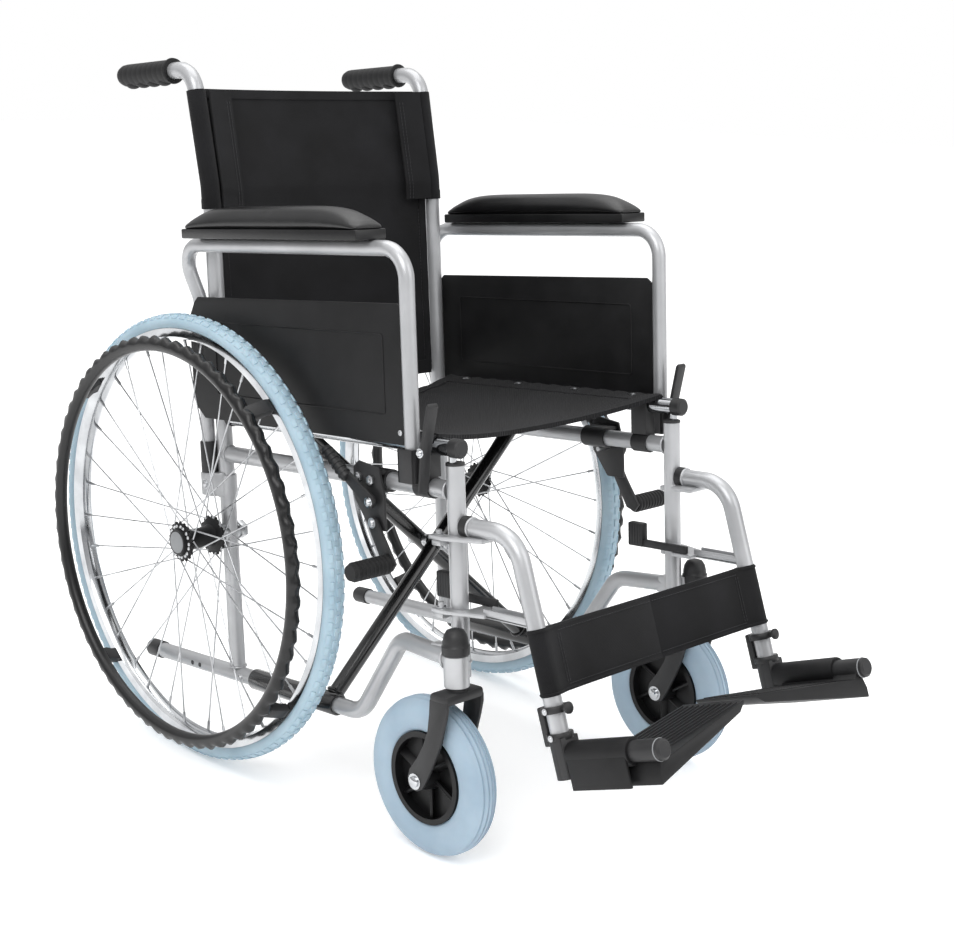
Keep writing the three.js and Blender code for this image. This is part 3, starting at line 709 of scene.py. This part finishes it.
HANDRIM_TUBE_R = 8.6
bpy.ops.mesh.primitive_torus_add(
    major_radius=HANDRIM_R,
    minor_radius=HANDRIM_TUBE_R,
    major_segments=560,
    minor_segments=16,
    rotation=(0, math.pi / 2, 0),
)
bpy.ops.object.transform_apply(location=True, rotation=True, scale=True)
handrim = active()
handrim.data.transform(Matrix.Translation((HANDRIM_X, 0, 0)))
SCALLOPS = 70
for vertex in handrim.data.vertices:
    y, z = vertex.co.yz
    radial = math.hypot(y, z)
    outward = max(0, (radial - HANDRIM_R) / HANDRIM_TUBE_R)
    swell = 3.0 * outward * (math.cos(SCALLOPS * math.atan2(y, z)) + 0.3)
    vertex.co.y = y * (1 + swell / radial)
    vertex.co.z = z * (1 + swell / radial)
pair(handrim, "handrim", "wheel", DIPPED, ["handrim"])
tab_outline = [(270.6, 273), (270.6, 284), (277, 284), (291, 279), (304, 274), (304, 264)]
tab_outline += [(290, 264), (279, 271)]
tabs = []
for i in range(4):
    tab = plate(tab_outline, "xz", -9, 9, 1)
    tab.data.transform(Matrix.Rotation(math.pi / 4 + i * math.pi / 2, 4, "X"))
    tabs.append(tab)
pair(fuse(*tabs), "handrim_tabs", "wheel", BLACK)

# ---- castors -------------------------------------------------------------------------------
blade_outline = [
    (STEM_Y - 14, -131),
    (STEM_Y + 16, -131),
    (STEM_Y + 18, -150),
    (STEM_Y + 22, -172),
    (STEM_Y + 31, -193),
    (STEM_Y + 43, -211),
    (CASTOR_Y + 10, CASTOR_Z + 13),
    (CASTOR_Y + 13.5, CASTOR_Z + 2),
    (CASTOR_Y + 9, CASTOR_Z - 9),
    (CASTOR_Y - 1, CASTOR_Z - 13),
    (CASTOR_Y - 12, CASTOR_Z - 8),
    (CASTOR_Y - 23, CASTOR_Z + 9),
    (STEM_Y + 11, -209),
    (STEM_Y - 1, -184),
    (STEM_Y - 9, -160),
    (STEM_Y - 14, -142),
]
fork = [
    plate(blade_outline, "yz", STEM_X - 31, STEM_X - 26, 1.9),
    plate(blade_outline, "yz", STEM_X + 26, STEM_X + 31, 1.9),
    block(STEM_X - 31, STEM_X + 31, STEM_Y - 15, STEM_Y + 17, -137, -123.6, 5),
    turned([(0, -126), (13, -126), (11, -120.4), (0, -120.4)], "z", (STEM_X, STEM_Y, 0)),
]
pair(fuse(*fork), "castor_fork", "castor_fork", BLACK, ["castor_fork"])
bolts = [
    dome_bolt((STEM_X + 31, CASTOR_Y, CASTOR_Z), 7, 5),
    dome_bolt((STEM_X - 31, CASTOR_Y, CASTOR_Z), 7, 5, "x", -1),
    bar((STEM_X - 31, CASTOR_Y, CASTOR_Z), (STEM_X + 31, CASTOR_Y, CASTOR_Z), 4.4, 16),
]
pair(fuse(*bolts), "castor_axle", "castor_fork", CHROME)

CASTOR_HALF = 19.5
sidewall = [(58.2, -13), (60.5, -15.5), (67, -18.4), (78, -CASTOR_HALF), (87, -18.2), (93, -15.4), (96, -12)]
castor_profile = list(sidewall)
for groove in (-9, -3, 3, 9):
    crest = 99.7 - 0.03 * groove**2
    floor_r = crest - 1.6
    castor_profile += [(crest, groove - 1.5), (floor_r, groove - 0.8)]
    castor_profile += [(floor_r, groove + 0.8), (crest, groove + 1.5)]
castor_profile += [(r, -x) for r, x in reversed(sidewall)]
castor = turned(castor_profile, "x", (STEM_X, CASTOR_Y, CASTOR_Z), 72)
pair(castor, "castor_tyre", "castor_wheel", CASTOR_TYRE, ["castor_tyre"])
castor_hub = [
    turned([(51, -17), (58, -17), (58, 17), (51, 17), (52.6, 4), (52.6, -4)], "x", sides=64),
    turned([(5, -24), (12, -24), (14, -18), (17, 0), (14, 18), (12, 24), (5, 24)], "x", sides=32),
    turned([(14, -3), (53, -3), (53, 3), (14, 3)], "x", sides=64),
]
for i in range(6):
    vane = block(-13, 13, -2, 2, 13, 53, 0.8)
    vane.data.transform(Matrix.Rotation(i * math.pi / 3, 4, "X") @ Matrix.Rotation(0.5, 4, "Z"))
    vane.data.transform(Matrix.Translation((STEM_X, CASTOR_Y, CASTOR_Z)))
    castor_hub.append(vane)
for o in castor_hub[:3]:
    o.data.transform(Matrix.Translation((STEM_X, CASTOR_Y, CASTOR_Z)))
# The castor hub gets the same darker nylon, painted shade.
pair(fuse(*castor_hub), "castor_hub", "castor_wheel", HUB_SHADE_NYLON, ["castor_hub"])

# ---- armrests ------------------------------------------------------------------------------
arm = bent_tube(
    [
        (ARM_REAR_X, ARM_REAR_Y, 93),
        (ARM_REAR_X, ARM_REAR_Y, 320),
        (ARM_X, 38, ARM_Z),
        (ARM_X, ARM_FRONT_Y, ARM_Z),
        (ARM_X, ARM_FRONT_Y, 124),
    ],
    [50, 34, 36],
    ARM_R,
)
pair(arm, "armrest_tube", "armrest", SILVER, ["armrest_tube"])


def arm_pad():
    """A moulded pad on a flat base: the crown is filled out by pressure, domed across its width
    and rounded off at both ends."""
    foot = ARM_Z + 21
    o = block(PAD_X - 24, PAD_X + 24, -362, -14, foot, 441, 9)
    o = modify(o, "REMESH", mode="VOXEL", voxel_size=4)
    o.data.transform(Matrix.Scale(0.001, 4))
    before = [v.co.copy() for v in o.data.vertices]
    cloth = o.modifiers.new("cloth", "CLOTH")
    cloth.settings.use_pressure = True
    cloth.settings.uniform_pressure_force = 4
    cloth.settings.effector_weights.gravity = 0
    for step in range(1, 16):
        bpy.context.scene.frame_set(step)
    select(o)
    bpy.ops.object.modifier_apply(modifier="cloth")
    bpy.context.scene.frame_set(1)
    for vertex, old in zip(o.data.vertices, before):
        shift = vertex.co - old
        if shift.length > 0.002:
            vertex.co = old + shift.normalized() * 0.002
    o.data.transform(Matrix.Scale(1000, 4))
    for vertex in o.data.vertices:
        along = min(1, abs(vertex.co.y + 188) / 173)
        across = min(1, abs(vertex.co.x - PAD_X) / 24)
        rise = (1 - 0.4 * across**2.4) * (1 - 0.72 * along**6)
        vertex.co.z = foot + max(-0.2, vertex.co.z - foot) * rise
    o = modify(o, "SUBSURF", levels=1, render_levels=1)
    return fuse(o, block(PAD_X - 24, PAD_X + 24, -363, -13, ARM_Z + ARM_R + 0.4, foot + 1.4, 1.6))


for pad in pair(arm_pad(), "arm_pad", "armrest", VINYL, ["arm_pad"]):
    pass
guard_outline = [(4, 161), (14, 170), (22, 176), (27, 186), (27, 296), (14, 317), (6, 324)]
guard_outline += [(-394, 329), (-403.2, 322), (-403.2, 161)]
guard = plate(guard_outline, "yz", ARM_X - 3.4, ARM_X - 0.4, 1.2)
beads = []
for x in (ARM_X - 3.4, ARM_X - 0.4):
    corners = [(x, -190, 292), (x, -30, 292), (x, -30, 196), (x, -366, 196), (x, -366, 292), (x, -190, 292)]
    beads.append(bent_tube(corners, [4, 4, 4, 4], 1.1, 8, 3))
pair(fuse(guard, *beads), "skirt_guard", "armrest", GUARD, ["skirt_guard"])
pair(dome_bolt((ARM_X - 0.4, -392, 176), 2.4, 2), "guard_screw", "armrest", ZINC)

sleeve_profile = [(9.9, 84), (11.7, 84), (12, 86), (12, 125), (11.2, 127), (9.9, 127)]
sleeve = turned(sleeve_profile, "z", (ARM_REAR_X, ARM_REAR_Y, 0), 28)
pair(sleeve, "rear_arm_sleeve", "frame", BLACK)
cheek = [(9, -9), (14, -6), (24, 8), (24, 28), (5, 28), (4, 12)]
clamp = [
    turned([(11.2, 50), (13.6, 50), (13.6, 80), (11.2, 80)], "z", (SIDE_X, 0, 0), 32),
    plate([(SIDE_X + x, y) for x, y in cheek], "xy", 52, 84, 1.5),
]
pair(fuse(*clamp), "rear_arm_socket", "frame", SILVER, ["rear_arm_socket"])
pair(dome_bolt((SIDE_X + 23.6, 18, 68), 5, 4), "rear_clamp_bolt", "frame", ZINC)

X0 = ARM_X - 13
X1 = ARM_X + 13
Y0 = ARM_FRONT_Y - 13
Y1 = ARM_FRONT_Y + 14
saddle = [(-15, 121), (16, 121), (16, 163), (12.4, 164), (11.6, 159), (8, 152.4), (0, 149.2)]
saddle += [(-8, 152.4), (-11.6, 159), (-12.4, 164), (-15, 163)]
front_socket = [
    block(X0, X1, Y0, ARM_FRONT_Y - 9.9, 119, 160, 1.4),
    block(X0, X1, ARM_FRONT_Y + 9.9, Y1, 119, 160, 1.4),
    block(X0, ARM_X - 9.9, Y0, Y1, 119, 160, 1.4),
    block(ARM_X + 9.9, X1, Y0, Y1, 119, 160, 1.4),
    plate([(X0 - 1, Y0 + 2), (X0 - 8, Y0 + 7), (X0 - 8, Y1 + 4), (X0 - 1, Y1 + 4)], "xy", 120, 158, 1.2),
    plate([(SEAT_X + x, z) for x, z in saddle], "xz", ARM_FRONT_Y - 6, ARM_FRONT_Y + 20, 0.8),
    turned([(11.3, -419), (13.4, -419), (13.4, -393), (11.3, -393)], "y", (SIDE_X, 0, UPPER_Z), 32),
]
pair(fuse(*front_socket), "front_arm_socket", "frame", BLACK, ["front_arm_socket"])
lever_outline = [(-430, 108), (-427, 109), (-432, 157), (-446, 212), (-449, 216), (-452, 212), (-437, 156)]
lever = plate(lever_outline, "yz", ARM_X - 8, ARM_X + 8, 1.8)
pair(lever, "arm_lever", "arm_lever", BLACK, ["arm_lever"])
pair(dome_bolt((ARM_X + 8, -434, 157), 4, 4), "arm_lever_bolt", "arm_lever", CHROME)

# ---- brakes --------------------------------------------------------------------------------
cheek = [(-352, 96), (-352, 50), (-322, 50), (-296, 86), (-296, 126), (-306, 134), (-344, 128)]
hood = [
    plate(cheek, "yz", BRAKE_X - 11, BRAKE_X - 7, 1.6),
    turned([(11.3, -343), (14.2, -343), (14.2, -303), (11.3, -303)], "y", (SIDE_X, 0, UPPER_Z), 32),
    block(SIDE_X + 4, BRAKE_X - 8, -342, -304, 118, 123, 1.4),
    block(SIDE_X + 4, BRAKE_X - 8, -342, -304, 95, 100, 1.4),
]
pair(fuse(*hood), "brake_bracket", "frame", BLACK, ["brake_bracket"])
fixings = [
    hex_nut((BRAKE_X - 7, -331, 112), 6.5, 5),
    hex_nut((BRAKE_X - 7, -308, 114), 6.5, 5),
    bar((SIDE_X - 4, -326, 92), (BRAKE_X - 8, -326, 92), 3.2, 12),
]
pair(fuse(*fixings), "brake_bolts", "frame", ZINC)
handle_outline = [(-346, 88), (-341, 79), (-333, 78), (-327, 82), (-290, 111), (-297, 122), (-338, 98)]
handle_outline += [(-345, 94)]
handle = plate(handle_outline, "yz", BRAKE_X, BRAKE_X + 5, 1.4)
grip_foot = Vector((BRAKE_X + 4.5, -298, 113))
grip_head = Vector((BRAKE_X + 4.5, -258, 146))
grip_bar = bar(grip_foot, grip_head, 7.2, 20, 2)
rings = []
for i in range(6):
    place = grip_foot.lerp(grip_head, 0.14 + 0.15 * i)
    rings.append(bar(place - Vector((0, 0.9, 0.74)), place + Vector((0, 0.9, 0.74)), 8.4, 20, 0.6))
pair(fuse(handle, grip_bar, *rings), "brake_lever", "brake_lever", BLACK, ["brake_lever"])
pair(dome_bolt((BRAKE_X + 5, -337, 87), 4.6, 4.5), "brake_lever_bolt", "brake_lever", CHROME)
shoe_outline = [(-342, 66), (-329, 66), (-328, 52), (-352, 8), (-366, 3), (-374, 13), (-352, 48)]
shoe_arm = plate(shoe_outline, "yz", BRAKE_X - 5.5, BRAKE_X - 0.8, 1.3)
pair(shoe_arm, "brake_arm", "brake_shoe", BLACK, ["brake_shoe"])
roller_profile = [(0, BRAKE_X - 0.5), (10.6, BRAKE_X - 0.5)]
for i in range(9):
    x = BRAKE_X + 3 + 6.2 * i
    roller_profile += [(10.9, x - 2.2), (12.3, x - 1.0), (12.3, x + 2.2), (10.9, x + 3.2)]
roller_profile += [(10, 290), (0, 290)]
pair(turned(roller_profile, "x", (0, -362, 13), 32), "brake_roller", "brake_shoe", RUBBER)
pair(dome_bolt((BRAKE_X - 0.8, -335, 60), 4.6, 4), "brake_arm_bolt", "brake_shoe", ZINC)

# ---- legrests ------------------------------------------------------------------------------
hanger = [
    bent_tube(
        [
            (LEG_X + 2, FRONT_Y - TUBE_R - 0.5, HANGER_TOP_Z),
            (LEG_X, HANGER_BEND_Y, HANGER_TOP_Z),
            (LEG_X, hanger_y(-204), -204),
        ],
        [45],
    )
]
ear = [
    (PIVOT_X - 3.5, PIVOT_Y + 9),
    (PIVOT_X + 9, PIVOT_Y + 9),
    (PIVOT_X + 9, PIVOT_Y - 14),
    (LEG_X + 12, -505),
    (LEG_X - 22, -505),
    (LEG_X - 22, FRONT_Y - 17),
    (SIDE_X + 8, FRONT_Y - 16),
    (PIVOT_X - 3.5, FRONT_Y + 2),
]
hanger.append(plate(ear, "xy", 53, 58.5, 1))
hanger.append(plate(ear, "xy", -36, -31, 1))
strut_end = hanger_y(-31) + 4
hanger.append(block(LEG_X - 9, LEG_X + 9, strut_end, -500, -36, -32, 1))
hanger.append(block(LEG_X - 9, LEG_X - 6.5, strut_end, -500, -35, -25, 0.8))
hanger.append(block(LEG_X + 6.5, LEG_X + 9, strut_end, -500, -35, -25, 0.8))
hanger.append(ring(TUBE_R + 0.4, 1.5, (LEG_X + 1.8, -480, HANGER_TOP_Z)))
pair(fuse(*hanger), "hanger", "hanger", SILVER, ["hanger"])
collar_profile = [(11.3, -479), (12.8, -479), (13.2, -477), (13.2, -468), (11.3, -467)]
collar = turned(collar_profile, "y", (LEG_X + 2, 0, HANGER_TOP_Z), 28)
pair(collar, "hanger_collar", "hanger", BLACK)
pins = [bar((PIVOT_X, PIVOT_Y, z), (PIVOT_X, PIVOT_Y, z + 1.6), 6.2, 20, 0.5) for z in (58.6, -30.9)]
pair(fuse(*pins), "hinge_washers", "hanger", ZINC)
latch = [
    block(LEG_X - 22, LEG_X - 16, -497, -405, -30.6, -20, 1.6),
    block(LEG_X - 24, LEG_X - 12, -424, -398, -30.6, 2, 2.4),
]
for i in range(5):
    y = -420 + 4.6 * i
    latch.append(block(LEG_X - 24.6, LEG_X - 11.6, y, y + 2, -28, 1.4, 0.6))
pair(fuse(*latch), "hanger_latch", "hanger_latch", BLACK, ["hanger_latch"])

bracket = [
    turned([(11.6, -26), (14.2, -26), (14.2, 18), (11.6, 18)], "z", sides=28),
    block(-14, -11.2, -14, 3, -25, 22, 1),
    block(11.2, 14, -14, 3, -25, 22, 1),
    block(-14, 14, -14.2, -11.4, -25, 22, 1),
    block(-8, 8, 11.6, 21, 12, 58, 2),
]
for z in (23, 54):
    band = [(11.6, -4), (15.4, -4), (16, -3.2), (16, 3.2), (15.4, 4), (11.6, 4)]
    bracket.append(turned([(r, z + t) for r, t in band], "z", sides=32))
knob_profile = [(0, -25.5), (5, -25.5), (7, -24), (7, -21.5), (3.8, -19.5), (3.8, -15.5), (0, -15.5)]
bracket.append(turned(knob_profile, "y", (0, 0, 54), 24))
pair(fuse(*bracket), "foot_bracket", "foot_bracket", BLACK, ["foot_bracket"], FOOT)
screws = [dome_bolt((16, 0, z), 2.6, 2.2) for z in (23, 54)]
pair(fuse(*screws), "foot_bracket_screws", "foot_bracket", ZINC, where=FOOT)
foot_tube_profile = [(0, -152), (9, -152), (12, -149.6), (12.4, -146), (12.4, -14.4), (0, -14.4)]
foot_tube = turned(foot_tube_profile, "y", (-1, 0, 0), 28)
pair(foot_tube, "foot_tube", "foot_tube", BLACK, ["foot_tube"], FOOT)
# A grey ring near the end of the black foot tube: a painted highlight for the sheen on the tube there.
pair(ring(12.1, 0.9, (-1, -145, 0)), "foot_tube_painted_sheen", "foot_tube", GREY, where=FOOT)

INNER = -LEG_X + 11
tread = [(4, -26), (4, -38), (INNER + 13, 0), (INNER + 2, 8), (INNER, 12), (-18, -11), (-12, -4), (-4, -4)]
slab = plate(tread, "xz", -142, -27, 1.6)
SLOPE = 23 / (18 + INNER)
for vertex in slab.data.vertices:
    limit = -147 + 29 * (30 - vertex.co.x) / (50 - INNER)
    vertex.co.y = max(vertex.co.y, min(limit, -30))
sleeve_profile = [(12.9, -108), (16, -108), (16.4, -106), (16.4, -18), (16, -15), (12.9, -15)]
footplate = [
    slab,
    turned(sleeve_profile, "y", (-1, 0, 0), 32),
    block(11.4, 15.4, -106, -16, -38, -2, 1.2),
]
for i in range(11):
    y = -34 - 8.3 * i
    rib = block(INNER + 10, -24, y - 1.3, y + 1.3, -1.2, 1.2, 0.6)
    for vertex in rib.data.vertices:
        vertex.co.z += -11 + SLOPE * (vertex.co.x + 18)
    footplate.append(rib)
pair(fuse(*footplate), "footplate", "footplate", GUARD, ["footplate"], FOOT)


def stitches(points, pitch=4.5, length=3.0, r=0.45):
    """A row of thread stitches along a line of points."""
    made = []
    for a, b in zip(points, points[1:]):
        a, b = Vector(a), Vector(b)
        step = (b - a).normalized()
        for i in range(int((b - a).length / pitch)):
            start = a + step * (i + 0.25) * pitch
            made.append(bar(start, start + step * length, r, 6))
    return made


# calf strap: a doubled band wrapped round the hanger tube, hemmed along both edges
STRAP_OUT = TUBE_R + 1.0
wrap = []
for k in range(13):
    a = math.pi * (0.5 - k / 12)
    wrap.append((STRAP_OUT * math.cos(a), STRAP_OUT * math.sin(a)))
strap_end = -0.4 - LEG_X
run = [(strap_end, 1.8), (-60, 2.6), (-24, 4.6), (-9, 9.6)]
front = run + wrap + [(x, -y) for x, y in reversed(run)]
band = plate([(x, y) for x, y in front], "xy", -39, 39, 0.5)
hems = []
for z in (-37.5, 35.0):
    hems.append(plate([(x + (0.5 if x > 0 else 0), y * 1.12) for x, y in front], "xy", z, z + 2.5, 0.5))
straps = pair(fuse(band, *hems), "calf_strap", "hanger", BACK_CLOTH, ["calf_strap"], CALF)
seam_lines = []
for z in (31.5, -31.5):
    seam_lines += stitches([(-196, -2.2, z), (-60, -3.0, z), (-26, -4.8, z)])
for x, y in ((-27, -5.0), (-31, -4.6)):
    seam_lines += stitches([(x, y, -30), (x, y, 30)])
strap_thread = pair(fuse(*seam_lines), "calf_strap_stitching", "hanger", THREAD, where=CALF)
for straps_of_kind in (straps, strap_thread):
    for o, m in zip(straps_of_kind, (1, -1)):
        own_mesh(o)

# ---- cross brace ---------------------------------------------------------------------------
BRACE_R = 10.5


def brace(name, body, sign, y, rear, front):
    foot = Vector((-sign * SIDE_X, y, LOWER_Z))
    head = Vector((sign * SEAT_X, y, SEAT_Z))
    along = (head - foot).normalized()
    tube_piece = bar(foot + along * 12, head - along * (TUBE_R + 0.3), BRACE_R, 32)
    outline = [(11.7, front), (14, front), (14.5, front + 1), (14.5, rear - 1), (14, rear), (11.7, rear)]
    collar = turned(outline, "y", (foot.x, 0, LOWER_Z), 32)
    bead = ring(BRACE_R + 1, 1.8, (0, 0, 0), "z")
    tilt = along.to_track_quat("Z", "Y").to_matrix().to_4x4()
    bead.data.transform(Matrix.Translation(foot + along * 15.5) @ tilt)
    bead_top = ring(BRACE_R + 0.2, 1.4, (0, 0, 0), "z")
    bead_top.data.transform(Matrix.Translation(head - along * (TUBE_R + 1)) @ tilt)
    shared(fuse(tube_piece, collar, bead, bead_top), name, body, GLOSS, [name])


brace("brace_front", "brace_a", 1, -200, -41, -218)
brace("brace_rear", "brace_b", -1, -168, -41, -190)
pivot = [
    bar((0, -217, CROSS_Z), (0, -151, CROSS_Z), 4.8, 16),
    turned([(0, -217.5), (8, -217.5), (9, -216.4), (9, -211), (0, -211)], "y", (0, 0, CROSS_Z), 24),
    bar((0, -224, CROSS_Z), (0, -217, CROSS_Z), 7.5, 6, 0.6),
    bar((0, -189, CROSS_Z), (0, -179, CROSS_Z), 9, 24, 0.6),
    bar((0, -157, CROSS_Z), (0, -150, CROSS_Z), 9, 6, 0.6),
]
shared(fuse(*pivot), "brace_pivot", "brace_a", ZINC, ["brace_pivot"])

# ---- seat ----------------------------------------------------------------------------------
SEAT_BODY = {1: ("left", "brace_a"), -1: ("right", "brace_b")}
for m, (side, body) in SEAT_BODY.items():
    x = m * SEAT_X
    rail = fuse(
        bar((x, -24, SEAT_Z), (x, -460, SEAT_Z), TUBE_R - 0.3, 32),
        bar((x, FRONT_Y, SEAT_Z - 8), (x, FRONT_Y, TOP_Z + 0.3), 5, 16),
    )
    shared(rail, f"{side}_seat_rail", body, CHROME, [f"{side}_seat_rail"])
    caps = [
        turned([(0, -472.4), (9, -472.4), (11.6, -470), (11.8, -457), (0, -457)], "y", (x, 0, SEAT_Z), 28),
        turned([(0, -30), (11.8, -30), (11.6, -22), (9, -20), (0, -20)], "y", (x, 0, SEAT_Z), 28),
    ]
    shared(fuse(*caps), f"{side}_seat_rail_caps", body, BLACK)
    heads = [dome_bolt((x - m * 6, y, SEAT_Z + 12.4), 4.4, 2.4, "z") for y in (-66, -174, -283, -390)]
    shared(fuse(*heads), f"{side}_seat_screws", body, ZINC)


def seat_height(x, y):
    """Height of the fabric: it sags between the rails, a little more towards the back, and
    puckers along the rails and across the rear hem."""
    part = min(1.0, abs(x) / SEAT_X)
    sag = (19 + 5 * (1 + y / 432)) * (1 - part**2.2)
    pucker = 0.9 * part**10 * math.sin(2 * math.pi * y / 31)
    gather = 1.3 * max(0, (y + 110) / 86) ** 2 * (1 - part**4) * math.sin(2 * math.pi * x / 34)
    return SEAT_Z + 12.2 - sag + pucker + gather


def fabric(x0, x1, y0, y1, nx, ny, height, thick):
    """A grid of cloth laid to a height, with its thickness."""
    bpy.ops.mesh.primitive_grid_add(x_subdivisions=nx, y_subdivisions=ny, size=1)
    o = active()
    for vertex in o.data.vertices:
        u, v = vertex.co.x + 0.5, vertex.co.y + 0.5
        x = x0 + (x1 - x0) * u
        y = y0 + (y1 - y0) * v
        vertex.co = height(x, y)
    return modify(o, "SOLIDIFY", thickness=thick, offset=0)


def seat_point(x, y):
    part = min(1.0, abs(x) / SEAT_X)
    inward = 34 * (1 - part**2) * max(0.0, (-y - 300) / 132)
    return (x, y + inward, seat_height(x, y))


seat = fabric(-215, 215, -432, -24, 72, 60, seat_point, 2.2)
for vertex in seat.data.vertices:
    past = abs(vertex.co.x) - SEAT_X
    if past > 0:
        vertex.co.z -= TUBE_R + 1 - math.sqrt(max(0, (TUBE_R + 1) ** 2 - past**2))


def on_seat(y_shift, z_shift):
    """The seat's surface, shifted, for what is sewn on it."""
    return lambda x, y: Vector(seat_point(x, y)) + Vector((0, y_shift, z_shift))


hems = [
    fabric(-206, 206, -433, -408, 60, 4, on_seat(-0.8, -0.6), 6),
    fabric(-206, 206, -44, -23, 60, 4, on_seat(0, 0.3), 4),
]
for m in (1, -1):
    hems.append(fabric(m * 180, m * 204, -430, -26, 4, 40, on_seat(0, 0.5), 3))
seat = fuse(seat, *hems)
thread_point = on_seat(0, 1.6)
lines = []
for y in (-405, -47):
    lines += stitches([thread_point(x, y) for x in range(-190, 191, 20)], 5, 3.4)
for m in (1, -1):
    lines += stitches([thread_point(m * 178, y) for y in range(-400, -30, 20)], 5, 3.4)
seat = shared(seat, "seat_sling", None, SEAT_CLOTH, ["seat_sling"])
seat_thread = shared(fuse(*lines), "seat_stitching", None, THREAD)
for o in (seat, seat_thread):
    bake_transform(o)

# ---- back ----------------------------------------------------------------------------------
SLEEVE_FOOT = 440
SEAM_X = 148


def cane_y(z):
    return 0 if z < 460 else lean * (z - 470) + 0.6


def back_point(x, z):
    """The panel hangs behind the canes: it sags between them, and draws into shallow upright
    folds towards its sides."""
    part = min(1.0, abs(x) / (SIDE_X - 2))
    sag = 24 * (1 - part**2) * min(1.0, max(0.3, (z - 120) / 320))
    folds = 1.1 * part**5 * (1 - part) * 4 * math.sin(2 * math.pi * z / 58 + x / 9)
    return Vector((x, cane_y(z) + sag + folds - 4 * (1 - part), z))


def proud(x, z, step=-0.4):
    """A point on the front of the panel."""
    return back_point(x, z) + Vector((0, step, 0))


back = fabric(-187, 187, 182, 595, 72, 72, back_point, 2.2)
hems = [
    fabric(-186, 186, 584, 596, 50, 3, proud, 4.2),
    fabric(-186, 186, 180, 200, 50, 4, proud, 4.2),
    fabric(-187, -176, 184, SLEEVE_FOOT, 3, 50, proud, 4),
    fabric(176, 187, 184, SLEEVE_FOOT, 3, 50, proud, 4),
]
def flap(x, z):
    """Where the panel is sewn to a sleeve it runs forward to the front of the cane."""
    forward = 2 + 9 * (abs(x) - SEAM_X) / (189 - SEAM_X)
    return Vector((x, cane_y(z) - forward, z))


for m in (1, -1):
    hems.append(fabric(m * SEAM_X, m * 189, SLEEVE_FOOT, 595, 6, 40, flap, 2.4))
lines = []
lines += stitches([proud(x, 203, -1.8) for x in range(-160, 161, 20)], 5, 3.4)
for x in (-158, -153, 153, 158):
    lines += stitches([flap(x, z) + Vector((0, -1.6, 0)) for z in range(SLEEVE_FOOT, 590, 20)], 5, 3.4)
for x in (-175, 175):
    lines += stitches([proud(x, z, -1.6) for z in range(205, SLEEVE_FOOT, 20)], 5, 3.4)
back = shared(fuse(back, *hems), "back_sling", "right_frame", BACK_CLOTH, ["back_sling"])
back_thread = shared(fuse(*lines), "back_stitching", "right_frame", THREAD)
for o in (back, back_thread):
    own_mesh(o)


def cane_line(z):
    return (SIDE_X + 2 * max(0, z - 470) / 152, cane_y(z), z)


def cane_sleeve():
    """Fabric sleeve round the cane, open at both ends, with a turned hem at its foot."""
    outline = [cane_line(z) for z in (SLEEVE_FOOT, 470, 500, 540, 570, 594)]
    o = bent_tube(outline, [60] * (len(outline) - 2), TUBE_R + 1.7, 24, 2)
    turned_up = [cane_line(SLEEVE_FOOT + z) for z in (-1, 6, 12)]
    hem = bent_tube(turned_up, [60], TUBE_R + 2.3, 24, 2)
    return fuse(o, hem)


pair(cane_sleeve(), "cane_sleeve", "frame", BACK_CLOTH)
